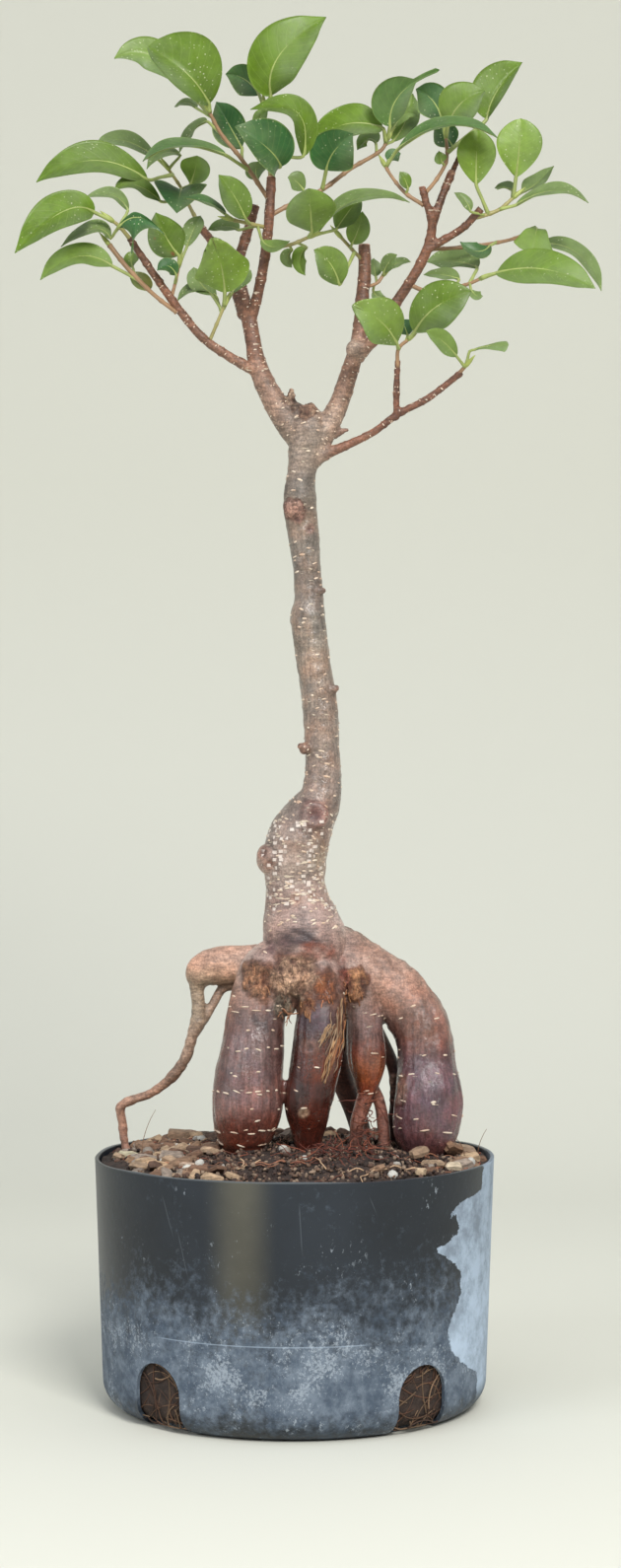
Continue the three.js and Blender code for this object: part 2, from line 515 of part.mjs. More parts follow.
function knob([x, z, depth, radius], extraRadius = 0) {
  const ball = new THREE.IcosahedronGeometry(radius + extraRadius, 1);
  const centre = seen(x, z, depth);
  ball.translate(centre.x, centre.y, centre.z);
  return solidOf(ball);
}

function limbSides(stations) {
  const thickest = Math.max(...stations.map((station) => station[3]));
  return thickest > THICK_LIMB ? ROOT_SIDES : BRANCH_SIDES;
}

function wood(extraRadius) {
  return joined([
    ...[TRUNK, ...ROOTS, ...BRANCHES].map((stations) => limb(stations, limbSides(stations), extraRadius)),
    ...STUBS.map((stub) => limb(stub, STUB_SIDES, extraRadius)),
    ...KNOBS.map((place) => knob(place, extraRadius)),
  ]);
}

function spray({ twigs, leaves }, cutter) {
  const pieces = [...twigs.map((twig) => limb(twig, TWIG_SIDES)), ...leaves.map(leaf)];
  return largestBody(joined(pieces).subtract(cutter));
}

// The pot's outline from the axis round its foot and up its side, drawn in by an inset
function tubOutline(inset, top) {
  const cornerX = POT_FOOT_RADIUS - POT_CORNER;
  const points = [new THREE.Vector2(0, inset)];
  for (let step = 0; step <= CORNER_STEPS; step += 1) {
    const angle = (step / CORNER_STEPS) * (Math.PI / 2);
    const radius = POT_CORNER - inset;
    const x = cornerX + radius * Math.sin(angle);
    points.push(new THREE.Vector2(x, POT_CORNER - radius * Math.cos(angle)));
  }
  points.push(new THREE.Vector2(sideRadius(top) - inset, top));
  return points;
}

function sideRadius(z) {
  return THREE.MathUtils.mapLinear(z, POT_CORNER, POT_HEIGHT, POT_FOOT_RADIUS, POT_RIM_RADIUS);
}

// A lathe turns about Y, so it is stood up on Z
function turned(points) {
  const geometry = new THREE.LatheGeometry(points, POT_SIDES);
  geometry.rotateX(Math.PI / 2);
  return geometry;
}

function notch(angleDegrees) {
  const half = NOTCH_WIDTH / 2;
  const arch = new THREE.Shape();
  arch.moveTo(-half, -BELOW);
  arch.lineTo(half, -BELOW);
  arch.lineTo(half, NOTCH_HEIGHT - half);
  arch.absarc(0, NOTCH_HEIGHT - half, half, 0, Math.PI, false);
  arch.lineTo(-half, -BELOW);
  const sweep = { depth: NOTCH_REACH, bevelEnabled: false, curveSegments: 6 };
  const block = new THREE.ExtrudeGeometry(arch, sweep);
  block.rotateX(Math.PI / 2);
  block.translate(0, -(POT_FOOT_RADIUS - POT_CORNER), 0);
  block.rotateZ(THREE.MathUtils.degToRad(angleDegrees));
  return solidOf(block);
}

function pot() {
  const outer = tubOutline(0, POT_HEIGHT);
  const inner = tubOutline(POT_WALL, POT_HEIGHT).reverse();
  const tub = solidOf(turned([...outer, ...inner]));
  return NOTCH_ANGLES.reduce((shell, angle) => shell.subtract(notch(angle)), tub);
}

// Even draws from 0 to 1, the same each time
function seededDraws(seed) {
  let state = seed;
  return () => {
    state = (state * 16807) % 2147483647;
    return state / 2147483647;
  };
}

function soilHeight(radius) {
  const share = Math.min(radius / (POT_RIM_RADIUS - 3), 1);
  return THREE.MathUtils.lerp(SOIL_MIDDLE, SOIL_EDGE, share * share);
}

// Bark chips and pumice half sunk in the soil
function chips() {
  const draw = seededDraws(CHIP_SEED);
  const made = [];
  while (made.length < CHIP_COUNT) {
    const reach = CHIP_MIDDLE_REACH * Math.sqrt(draw());
    const around = draw() * 2 * Math.PI;
    const x = reach * Math.cos(around);
    const y = reach * Math.sin(around);
    const size = CHIP_LENGTH * (0.45 + 0.55 * draw());
    const chip = new THREE.BoxGeometry(size, size * (0.4 + 0.3 * draw()), size * 0.35);
    chip.rotateX((2 * draw() - 1) * CHIP_TILT);
    chip.rotateY((2 * draw() - 1) * CHIP_TILT);
    chip.rotateZ(draw() * Math.PI);
    chip.translate(x, y, soilHeight(reach) + size * 0.05);
    if (reach + size / 2 < CHIP_END_REACH) {
      made.push(solidOf(chip));
    }
  }
  return made;
}

function soil(cutter) {
  const inset = POT_WALL + CLEARANCE;
  const outline = tubOutline(inset, SOIL_EDGE);
  for (const radius of SOIL_RINGS) {
    outline.push(new THREE.Vector2(radius, soilHeight(radius)));
  }
  outline.push(new THREE.Vector2(0, SOIL_MIDDLE));
  const fill = joined([solidOf(turned(outline)), ...chips()]);
  return largestBody(fill.subtract(cutter));
}

// Finishes

const FINISHES = {
  pot: { color: '#2b3138', roughness: 0.5, metalness: 0 },
  soil: { color: '#4a382b', roughness: 0.95, metalness: 0 },
  wood: { color: '#8a5a48', roughness: 0.5, metalness: 0 },
  leaf: { color: '#5f8f35', roughness: 0.4, metalness: 0 },
};

function named(name, solid, finish) {
  const mesh = new THREE.Mesh(geometryOf(solid), new THREE.MeshStandardMaterial(FINISHES[finish]));
  mesh.name = name;
  return mesh;
}

const cutter = wood(CLEARANCE);
const group = new THREE.Group();
group.add(named('pot', pot(), 'pot'));
group.add(named('soil', soil(cutter), 'soil'));
group.add(named('trunk_and_roots', largestBody(wood(0)), 'wood'));
for (const [name, parts] of Object.entries(SPRAYS)) {
  group.add(named(`spray_${name}`, spray(parts, cutter), 'leaf'));
}

export default group;
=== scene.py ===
# %% [markdown]
# # A ginseng ficus in its cut-down nursery pot
# The CAD model holds the tree, its soil and its pot at their real size. This notebook dresses them: every
# piece is rebuilt with finer faces in the same place, and gets the finish of the real thing. All sizes in
# the plant's tables are millimetres, because a plant this small is easiest to think of that way. They
# turn into Blender's metres only at the last step, where a mesh or the camera is put in the scene.

import math

import bpy
import numpy as np
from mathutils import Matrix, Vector
from mathutils.bvhtree import BVHTree


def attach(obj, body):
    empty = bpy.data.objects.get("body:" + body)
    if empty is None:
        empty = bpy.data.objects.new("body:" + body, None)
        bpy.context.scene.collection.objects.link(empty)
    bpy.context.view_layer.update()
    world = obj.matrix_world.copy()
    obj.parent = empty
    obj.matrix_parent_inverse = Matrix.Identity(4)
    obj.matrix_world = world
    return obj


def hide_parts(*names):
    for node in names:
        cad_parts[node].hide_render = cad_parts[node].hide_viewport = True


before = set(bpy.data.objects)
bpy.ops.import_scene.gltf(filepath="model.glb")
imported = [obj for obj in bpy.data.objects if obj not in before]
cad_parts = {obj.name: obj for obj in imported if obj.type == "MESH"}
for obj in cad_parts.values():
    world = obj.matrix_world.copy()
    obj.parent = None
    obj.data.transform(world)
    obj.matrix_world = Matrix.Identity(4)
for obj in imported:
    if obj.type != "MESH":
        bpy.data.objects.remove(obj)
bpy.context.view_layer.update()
MM = 0.001

# %% [markdown]
# ## Camera
# The tree was seen from straight ahead, level with the middle of its trunk and a good metre away, so the
# rim and the foot of the pot curve in opposite directions. A long lens keeps the trunk's proportions. The
# same viewpoint is used below: a place on the plant is written as x and z as they look on the plane
# through the trunk, with a depth behind that plane, which keeps the outline right whatever the depth.

# %% Camera
VIEWPOINT = np.array([6.0, -1035.0, 232.0])
LENS_MM = 63.1
SENSOR_MM = 36.0


def placed(name, data):
    """An object in the scene that holds the data."""
    made = bpy.data.objects.new(name, data)
    bpy.context.scene.collection.objects.link(made)
    return made


def add_camera():
    data = bpy.data.cameras.new("camera")
    data.lens = LENS_MM
    data.sensor_fit = "VERTICAL"
    data.sensor_height = SENSOR_MM
    data.clip_start = 0.01
    camera = placed("camera", data)
    camera.location = VIEWPOINT * MM
    camera.rotation_euler = (math.radians(90), 0, 0)
    bpy.context.scene.camera = camera
    return camera


def seen(x, z, depth):
    """The place that looks like x and z from the viewpoint, this far behind the trunk's plane."""
    on_plane = np.array([x, 0.0, z])
    return VIEWPOINT + (on_plane - VIEWPOINT) * (1 - depth / VIEWPOINT[1])


print("camera at", [round(value, 3) for value in add_camera().location])

# %% [markdown]
# ## Colours and node helpers
# A colour picked from a screen is sRGB, while Blender mixes light in linear values, so each one passes
# through the same small conversion. Materials are wired in code. A helper that makes a node, sets its
# sockets and links what is given as another node's output keeps that wiring short enough to read: `times`
# and `plus` are nodes that multiply and add, `step` is a soft threshold, and `layered` paints one colour
# over another, as weather does.

# %% Screen colours
def linear(red, green, blue):
    """A screen colour from 0 to 255 as linear values."""
    shares = np.array([red, green, blue]) / 255
    return np.where(shares <= 0.04045, shares / 12.92, ((shares + 0.055) / 1.055) ** 2.4)


print("a pale wall as linear values:", linear(223, 223, 210).round(3))

# %% Node helpers
class Wiring:
    """Adds nodes to one tree, and sets their sockets or links them to other nodes' outputs."""

    def __init__(self, tree):
        self.tree = tree
        self.place = None

    def put(self, socket, value):
        if isinstance(value, bpy.types.NodeSocket):
            self.tree.links.new(value, socket)
        elif isinstance(value, (tuple, list, np.ndarray)):
            numbers = [float(number) for number in value]
            opaque = [1.0] if socket.type == "RGBA" and len(numbers) == 3 else []
            socket.default_value = numbers + opaque
        else:
            socket.default_value = value

    def put_all(self, sockets, values):
        for socket, value in zip(sockets, values):
            self.put(socket, value)

    def fill(self, node, inputs):
        for name, value in inputs.items():
            self.put(node.inputs[name.replace("_", " ")], value)

    def node(self, kind, settings=None, **inputs):
        made = self.tree.nodes.new(kind)
        for name, value in (settings or {}).items():
            setattr(made, name, value)
        self.fill(made, inputs)
        return made

    def maths(self, operation, *values):
        made = self.node("ShaderNodeMath", {"operation": operation})
        self.put_all(made.inputs, values)
        return made.outputs[0]

    def times(self, total, *others):
        for other in others:
            total = self.maths("MULTIPLY", total, other)
        return total

    def plus(self, total, *others):
        for other in others:
            total = self.maths("ADD", total, other)
        return total

    def minus(self, first, second):
        return self.maths("SUBTRACT", first, second)

    def step(self, value, low, high, to_low=0.0, to_high=1.0):
        """A soft step from to_low to to_high, while the value goes from low to high."""
        made = self.node("ShaderNodeMapRange", {"interpolation_type": "SMOOTHSTEP"})
        self.put_all(made.inputs, (value, low, high, to_low, to_high))
        return made.outputs[0]

    def window(self, value, start, full, fading, end):
        """1 between two limits, with soft borders."""
        return self.times(self.step(value, start, full), self.step(value, fading, end, 1.0, 0.0))

    def mix(self, share, first, second, blend="MIX"):
        made = self.node("ShaderNodeMix", {"data_type": "RGBA", "blend_type": blend})
        self.put_all([made.inputs[number] for number in (0, 6, 7)], (share, first, second))
        return made.outputs[2]

    def layered(self, colour, layers):
        """The colour under layers, each given by how much it covers and its colour."""
        for share, layer in layers:
            colour = self.mix(share, colour, layer)
        return colour

    def shaded(self, colour, share):
        """The colour made darker or lighter by a share, where 1 leaves it alone."""
        grey = self.node("ShaderNodeCombineColor", Red=share, Green=share, Blue=share).outputs[0]
        return self.mix(1.0, colour, grey, "MULTIPLY")

    def stretch(self, scale, shift=(0, 0, 0), place=None):
        """Places squeezed or drawn out along the axes, and moved."""
        place = place or self.place
        return self.node("ShaderNodeMapping", Vector=place, Scale=scale, Location=shift).outputs[0]

    def noise(self, scale, detail=3.0, harshness=0.55, place=None):
        given = {"Scale": scale, "Detail": detail, "Roughness": harshness}
        return self.node("ShaderNodeTexNoise", Vector=place or self.place, **given).outputs[0]

    def parts_of(self, vector):
        return list(self.node("ShaderNodeSeparateXYZ", Vector=vector).outputs)[:3]


print("node helpers:", ", ".join(name for name in vars(Wiring) if "__" not in name))

# %% [markdown]
# ### Two effects that every finish shares
# Nothing that grew or lay outdoors has one even colour. Soft mottling comes back on the plastic, the bark
# and the leaves, and fine grain on the bark and on every chip and crumb of the soil. So each is built
# once, as a node group with named sockets, and a material places it with its own scale and strength.

# %% Mottling and grain groups
def new_group(name, inputs, output):
    """A node group with named sockets: the wiring to fill it, what it is given and what it puts out."""
    group = bpy.data.node_groups.new(name, "ShaderNodeTree")
    for title in inputs:
        kind = "NodeSocketVector" if title in ("Place", "Squeeze", "Shift") else "NodeSocketFloat"
        group.interface.new_socket(title, in_out="INPUT", socket_type=kind)
    group.interface.new_socket(output, in_out="OUTPUT", socket_type="NodeSocketFloat")
    wiring = Wiring(group)
    given = wiring.node("NodeGroupInput").outputs
    return wiring, [given[title] for title in inputs], wiring.node("NodeGroupOutput").inputs[output]


def mottling_group():
    """Noise, turned into a share that runs softly from Darkest to Lightest."""
    titles = ("Place", "Scale", "Detail", "Harshness", "Low", "High", "Darkest", "Lightest")
    wiring, (place, scale, detail, harshness, *ends), share = new_group("mottling", titles, "Share")
    wiring.put(share, wiring.step(wiring.noise(scale, detail, harshness, place), *ends))
    return wiring.tree


def grain_group():
    """Noise, squeezed along the axes and moved."""
    titles = ("Place", "Squeeze", "Shift", "Scale", "Detail", "Harshness")
    wiring, (place, squeeze, shift, *noise), height = new_group("grain", titles, "Height")
    wiring.put(height, wiring.noise(*noise, wiring.stretch(squeeze, shift, place)))
    return wiring.tree


MOTTLING = mottling_group()
GRAIN = grain_group()
print("node groups:", MOTTLING.name, "and", GRAIN.name)

# %% Helpers for one material
class Finish(Wiring):
    """The wiring of one material, whose patterns are laid out in the object's own space."""

    def __init__(self, name):
        self.material = bpy.data.materials.new(name)
        self.material.use_nodes = True
        super().__init__(self.material.node_tree)
        self.place = self.node("ShaderNodeTexCoord").outputs["Object"]

    def mottled(self, scale, low, high, darkest=0.0, lightest=1.0, detail=3.0, harshness=0.55, place=None):
        """The shared mottling, as a share that runs from darkest to lightest."""
        given = {"Scale": scale, "Detail": detail, "Harshness": harshness, "Low": low, "High": high}
        given.update(Place=place or self.place, Darkest=darkest, Lightest=lightest)
        return self.node("ShaderNodeGroup", {"node_tree": MOTTLING}, **given).outputs["Share"]

    def streaked(self, squeeze, scale, detail, harshness, shift=(0, 0, 0)):
        """The shared grain: noise squeezed along the axes, so that it turns into streaks."""
        given = {"Squeeze": squeeze, "Shift": shift, "Scale": scale, "Detail": detail}
        given.update(Place=self.place, Harshness=harshness)
        return self.node("ShaderNodeGroup", {"node_tree": GRAIN}, **given).outputs["Height"]

    def value_of(self, attribute, socket="Vector"):
        return self.node("ShaderNodeAttribute", {"attribute_name": attribute}).outputs[socket]

    def bump(self, height, strength, distance):
        return self.node("ShaderNodeBump", Strength=strength, Distance=distance, Height=height).outputs[0]

    def finish(self, **inputs):
        """Fills the sockets of the material's shader and hands back the material."""
        self.fill(self.tree.nodes["Principled BSDF"], inputs)
        return self.material


print("helpers for one material:", ", ".join(name for name in vars(Finish) if "__" not in name))

# %% [markdown]
# ## Light and backdrop
# The photograph was taken in bright shade in front of a pale wall: light comes from everywhere, a little
# more of it from above and from the viewer's side, and the glossy roots mirror it as soft streaks. One
# lamp does that and a weaker one from the left opens the shadows. The sky fills the rest, bright overhead
# and dim behind the viewer: what is dim there keeps the dark tubers dark, because they mirror it. The
# backdrop is a floor that curves up into a wall, so no horizon crosses the picture.

# %% Lamps and sky
SKY_ABOVE = (0.78, 0.81, 0.86)
SKY_LEVEL = (0.5, 0.515, 0.53)
SKY_BEHIND_VIEWER = (0.13, 0.13, 0.135)
LAMPS = {
    "key": {"place": (0.42, -1.3, 1.15), "size": 0.55, "power": 25.0, "colour": (1.0, 0.985, 0.95)},
    "fill": {"place": (-1.2, -1.0, 0.75), "size": 0.8, "power": 7.5, "colour": (0.94, 0.97, 1.0)},
}
LAMPS_AIM = Vector((0.0, 0.0, 0.28))


def add_lamp(name, place, size, power, colour):
    data = bpy.data.lights.new(name, "AREA")
    data.size = size
    data.energy = power
    data.color = colour
    lamp = placed(name, data)
    lamp.location = place
    lamp.rotation_euler = (LAMPS_AIM - Vector(place)).to_track_quat("-Z", "Y").to_euler()


def add_sky():
    """A sky that is brightest overhead and dim on the viewer's side."""
    world = bpy.data.worlds.new("sky")
    world.use_nodes = True
    wiring = Wiring(world.node_tree)
    direction = wiring.node("ShaderNodeTexCoord").outputs["Generated"]
    _, depth, height = wiring.parts_of(direction)
    level = wiring.mix(wiring.step(depth, -0.75, 0.1), SKY_BEHIND_VIEWER, SKY_LEVEL)
    colour = wiring.mix(wiring.step(height, 0.05, 0.8), level, SKY_ABOVE)
    wiring.put(world.node_tree.nodes["Background"].inputs["Color"], colour)
    bpy.context.scene.world = world


for lamp_name, lamp_facts in LAMPS.items():
    add_lamp(lamp_name, **lamp_facts)
add_sky()
bpy.context.scene.view_settings.view_transform = "Standard"
print("lamps:", ", ".join(LAMPS))

# %% Backdrop
WALL_COLOUR = linear(214, 214, 203)
FLOOR_HALF_WIDTH = 2.2
FLOOR_FRONT = -2.4
WALL_AT = 0.95
WALL_CURVE = 0.45
WALL_TOP = 2.6
CURVE_STEPS = 16


def backdrop_outline():
    points = [(FLOOR_FRONT, 0.0)]
    for step in range(CURVE_STEPS + 1):
        angle = step / CURVE_STEPS * math.pi / 2
        depth = WALL_AT - WALL_CURVE + WALL_CURVE * math.sin(angle)
        points.append((depth, WALL_CURVE * (1 - math.cos(angle))))
    points.append((WALL_AT, WALL_TOP))
    return points


def backdrop_paint():
    """The sheet shows on its inner side only, so the plant can be looked at from all round."""
    wiring = Finish("backdrop_paint")
    material = wiring.finish(Base_Color=WALL_COLOUR, Roughness=0.9)
    blend = wiring.node("ShaderNodeMixShader")
    behind = wiring.node("ShaderNodeNewGeometry").outputs["Backfacing"]
    clear = wiring.node("ShaderNodeBsdfTransparent").outputs[0]
    shader, output = wiring.tree.nodes["Principled BSDF"], wiring.tree.nodes["Material Output"]
    wiring.put_all(blend.inputs, (behind, shader.outputs[0], clear))
    wiring.put(output.inputs["Surface"], blend.outputs[0])
    return material


def add_backdrop():
    outline = backdrop_outline()
    sides = (-FLOOR_HALF_WIDTH, FLOOR_HALF_WIDTH)
    points = [(side, depth, height) for depth, height in outline for side in sides]
    faces = [(2 * n, 2 * n + 1, 2 * n + 3, 2 * n + 2) for n in range(len(outline) - 1)]
    mesh = bpy.data.meshes.new("backdrop")
    mesh.from_pydata(points, [], faces)
    mesh.shade_smooth()
    mesh.materials.append(backdrop_paint())
    placed("backdrop", mesh)


add_backdrop()
print("backdrop: one sheet, floor and wall")

# %% [markdown]
# ## Shaping helpers
# Nearly everything on this plant is either a tube along a curved line or a small lump, made many times. A
# pile gathers such shapes, with values that the materials read later, and turns them into one mesh. A
# mesh made this way in one go is much faster than hundreds of small objects.

# %% Piles of small shapes
PIECES = []


class Pile:
    """Points in millimetres, faces and point values, gathered from many small shapes."""

    def __init__(self):
        self.points = []
        self.faces = []
        self.values = {}
        self.count = 0

    def add(self, points, faces, **values):
        self.points.append(np.asarray(points, float))
        self.faces.extend([tuple(corner + self.count for corner in face) for face in faces])
        for name, value in values.items():
            spread = np.broadcast_to(np.asarray(value, float), (len(points), 3))
            self.values.setdefault(name, []).append(spread)
        self.count += len(points)

    def mesh(self, name):
        mesh = bpy.data.meshes.new(name)
        mesh.from_pydata((np.vstack(self.points) * MM).tolist(), [], self.faces)
        for key, parts in self.values.items():
            write_values(mesh, key, np.vstack(parts))
        mesh.shade_smooth()
        return mesh


def write_values(mesh, key, rows):
    attribute = mesh.attributes.new(key, "FLOAT_VECTOR", "POINT")
    attribute.data.foreach_set("vector", np.asarray(rows, np.float32).ravel())


def one_mesh(name, points, faces):
    pile = Pile()
    pile.add(points, faces)
    return pile.mesh(name)


def as_changed(piece):
    """The object's mesh, with its modifiers carried out."""
    graph = bpy.context.evaluated_depsgraph_get()
    return bpy.data.meshes.new_from_object(piece.evaluated_get(graph))


def show(name, mesh, material, slot, *nodes):
    """Puts a finished mesh in the scene: it rides on the one body and may stand for CAD nodes."""
    mesh.materials.append(material)
    piece = placed(name, mesh)
    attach(piece, "root")
    if nodes:
        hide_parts(*nodes)
    PIECES.append(piece)
    return piece


print("a pile keeps:", ", ".join(vars(Pile())))

# %% Curves
def between(first, second, start, end, place):
    return first + (second - first) * (place - start) / (end - start)


def smooth_path(stations, step):
    """Places about `step` apart on a centripetal Catmull-Rom curve through the stations, whose rows
    may carry more values after x, y and z, such as a radius."""
    rows = np.asarray(stations, float)
    rows = np.vstack([2 * rows[0] - rows[1], rows, 2 * rows[-1] - rows[-2]])
    places = []
    for a, b, c, d in zip(rows, rows[1:], rows[2:], rows[3:]):
        spans = [np.linalg.norm((q - p)[:3]) ** 0.5 for p, q in ((a, b), (b, c), (c, d))]
        k0, k1, k2, k3 = np.cumsum([0.0, *spans])
        count = max(2, round(np.linalg.norm((c - b)[:3]) / step))
        for place in np.linspace(k1, k2, count, endpoint=False):
            ab = between(a, b, k0, k1, place)
            bc = between(b, c, k1, k2, place)
            cd = between(c, d, k2, k3, place)
            abc = between(ab, bc, k0, k2, place)
            bcd = between(bc, cd, k1, k3, place)
            places.append(between(abc, bcd, k1, k2, place))
    places.append(rows[-2])
    return np.array(places)


def frames_along(centres):
    """Two directions square to the path at each place, turning as little as they can."""
    tangents = np.gradient(centres, axis=0)
    tangents /= np.linalg.norm(tangents, axis=1, keepdims=True)
    normal = np.array([0.0, 1.0, 0.0])
    if abs(tangents[0] @ normal) > 0.9:
        normal = np.array([1.0, 0.0, 0.0])
    normals = []
    for tangent in tangents:
        normal = normal - tangent * (normal @ tangent)
        normal = normal / np.linalg.norm(normal)
        normals.append(normal)
    normals = np.array(normals)
    return normals, np.cross(tangents, normals)


def unit(rows):
    return rows / np.maximum(np.linalg.norm(rows, axis=-1, keepdims=True), 1e-9)


test_path = smooth_path([[0, 0, 0, 1], [0, 0, 10, 1], [5, 0, 20, 2]], 2)
print("a curve through three stations has", len(test_path), "places")

# %% Tubes and lumps
def grid_faces(rings, sides):
    """Faces between rings of points that follow each other."""
    faces = []
    for ring in range(0, (rings - 1) * sides, sides):
        for side in range(sides):
            beside = (side + 1) % sides
            faces.append((ring + side, ring + beside, ring + sides + beside, ring + sides + side))
    return faces


def closed_faces(rings, sides):
    """The same, closed by a fan to one point at each end: the two points after the rings' own."""
    faces = grid_faces(rings, sides)
    start, last_ring = rings * sides, (rings - 1) * sides
    for side in range(sides):
        beside = (side + 1) % sides
        faces += [(start, beside, side), (start + 1, last_ring + side, last_ring + beside)]
    return faces


def tube(places, sides):
    """Points and faces of a closed tube: places are rows of x, y, z and radius."""
    centres, radii = places[:, :3], places[:, 3]
    normals, binormals = frames_along(centres)
    angles = np.arange(sides) / sides * 2 * math.pi
    spokes = np.cos(angles)[None, :, None] * normals[:, None]
    spokes = spokes + np.sin(angles)[None, :, None] * binormals[:, None]
    points = (centres[:, None] + spokes * radii[:, None, None]).reshape(-1, 3)
    return np.vstack([points, centres[0], centres[-1]]), closed_faces(len(places), sides)


def lumps(points, size, seed=0):
    """Smooth noise from -1 to 1 at points in millimetres, in lumps about `size` across."""
    scaled = points / size + seed * 17.31
    cell = np.floor(scaled).astype(np.int64)
    part = scaled - cell
    part = part * part * (3 - 2 * part)
    total = np.zeros(len(points))
    for corner in np.ndindex(2, 2, 2):
        spot = cell + np.array(corner)
        mixed = (spot[:, 0] * 73856093) ^ (spot[:, 1] * 19349663) ^ (spot[:, 2] * 83492791)
        mixed = (mixed ^ (mixed >> 13)) * 1274126177 % 65536
        weight = np.prod(np.where(corner, part, 1 - part), axis=1)
        total += weight * (mixed / 32768 - 1)
    return total


test_points, test_faces = tube(test_path, 8)
print("a tube along it has", len(test_points), "points and", len(test_faces), "faces")

# %% [markdown]
# ## The pot
# A one-gallon nursery can, cut down with a knife: thin black plastic, a rounded foot and arched drain
# notches. The CAD pot has flat facets, so a finer one is turned here from the same sizes. Its wall is a
# profile spun round the axis, and the arches are cut out with a Boolean, which leaves clean edges. The
# knife wandered a little, so the rim rises and falls by a fraction of a millimetre.

# %% The tub's form
POT_HEIGHT = 93.0
POT_RIM_RADIUS = 75.0
POT_FOOT_RADIUS = 72.0
POT_CORNER = 10.0
POT_WALL = 1.5
POT_SIDES = 288
NOTCH_WIDTH = 22.0
NOTCH_HEIGHT = 25.0
NOTCH_REACH = 20.0
NOTCH_ANGLES = (-43, 40, 137, 220)


def side_radius(height):
    share = (height - POT_CORNER) / (POT_HEIGHT - POT_CORNER)
    return POT_FOOT_RADIUS + share * (POT_RIM_RADIUS - POT_FOOT_RADIUS)


def tub_outline(inset, top, corner_steps=10, side_steps=12):
    """Radius and height from the axis round the foot and up the side, drawn in by an inset."""
    outline = [(0.0, inset)]
    for step in range(corner_steps + 1):
        angle = step / corner_steps * math.pi / 2
        reach = POT_CORNER - inset
        middle = POT_FOOT_RADIUS - POT_CORNER
        outline.append((middle + reach * math.sin(angle), POT_CORNER - reach * math.cos(angle)))
    for step in range(1, side_steps + 1):
        height = POT_CORNER + (top - POT_CORNER) * step / side_steps
        outline.append((side_radius(height) - inset, height))
    return outline


def turned(outline, sides):
    """Points and faces of an outline spun round the axis; its two ends lie on the axis."""
    angles = np.arange(sides) / sides * 2 * math.pi
    ring = np.stack([np.cos(angles), np.sin(angles)], axis=1)
    inner = outline[1:-1]
    rows = [np.column_stack([ring * radius, np.full(sides, height)]) for radius, height in inner]
    points = np.vstack([*rows, [(0, 0, outline[0][1])], [(0, 0, outline[-1][1])]])
    return points, closed_faces(len(inner), sides)


def knife_wander(points):
    """The rim's rise and fall, which fades out downwards."""
    angle = np.arctan2(points[:, 1], points[:, 0])
    wander = 0.28 * np.sin(3 * angle + 1) + 0.16 * np.sin(7 * angle) + 0.1 * np.sin(13 * angle + 2)
    near_rim = np.clip((points[:, 2] - POT_HEIGHT + 8) / 8, 0, 1)
    moved = points.copy()
    moved[:, 2] += (wander - 0.55) * near_rim
    return moved


def tub_mesh():
    outer = tub_outline(0, POT_HEIGHT - 0.3)
    lip = [(POT_RIM_RADIUS - 0.3, POT_HEIGHT), (POT_RIM_RADIUS - POT_WALL + 0.3, POT_HEIGHT)]
    inner = tub_outline(POT_WALL, POT_HEIGHT - 0.3)[::-1]
    points, faces = turned([*outer, *lip, *inner], POT_SIDES)
    return one_mesh("nursery_pot", knife_wander(points), faces)


print("the wall's radius at mid-height:", round(side_radius(POT_HEIGHT / 2), 2), "mm")

# %% The notches
def arch_block(angle_degrees, steps=14):
    """A round-headed block that reaches through the wall at the foot."""
    half = NOTCH_WIDTH / 2
    outline = [(-half, -5.0), (half, -5.0)]
    for step in range(steps + 1):
        angle = step / steps * math.pi
        outline.append((half * math.cos(angle), NOTCH_HEIGHT - half + half * math.sin(angle)))
    turn = math.radians(angle_degrees)
    points = []
    for reach in (POT_FOOT_RADIUS - POT_CORNER, POT_FOOT_RADIUS - POT_CORNER + NOTCH_REACH):
        for across, height in outline:
            x = across * math.cos(turn) + reach * math.sin(turn)
            y = across * math.sin(turn) - reach * math.cos(turn)
            points.append((x, y, height))
    count = len(outline)
    faces = [tuple(reversed(range(count))), tuple(range(count, 2 * count))]
    faces += [(n, (n + 1) % count, count + (n + 1) % count, count + n) for n in range(count)]
    return one_mesh("arch", points, faces)


def cut_notches(pot):
    cutters = [placed("arch", arch_block(angle)) for angle in NOTCH_ANGLES]
    for cutter in cutters:
        modifier = pot.modifiers.new("notch", "BOOLEAN")
        modifier.operation = "DIFFERENCE"
        modifier.solver = "EXACT"
        modifier.object = cutter
    cut = as_changed(pot)
    pot.modifiers.clear()
    pot.data = cut
    for cutter in cutters:
        bpy.data.objects.remove(cutter)


print("notches at", NOTCH_ANGLES, "degrees from the front")

# %% [markdown]
# ### Black plastic with water stains
# Hard water has run down this pot for years: the lower half is mottled grey-white with dried minerals,
# a pale film with a sharp wandering edge covers its right side, and one vertical band has stayed
# olive-brown. Everything is worked out from the place on the wall, as the distance round it and the
# height, so the stains stay put from every side.

# %% Mineral bloom and crust
def wall_place(wiring):
    """Distance round the wall from the front, in mm, and height in mm."""
    x, y, z = wiring.parts_of(wiring.place)
    around = wiring.maths("ARCTAN2", x, wiring.times(y, -1.0))
    return wiring.times(around, POT_RIM_RADIUS), wiring.times(z, 1000.0)


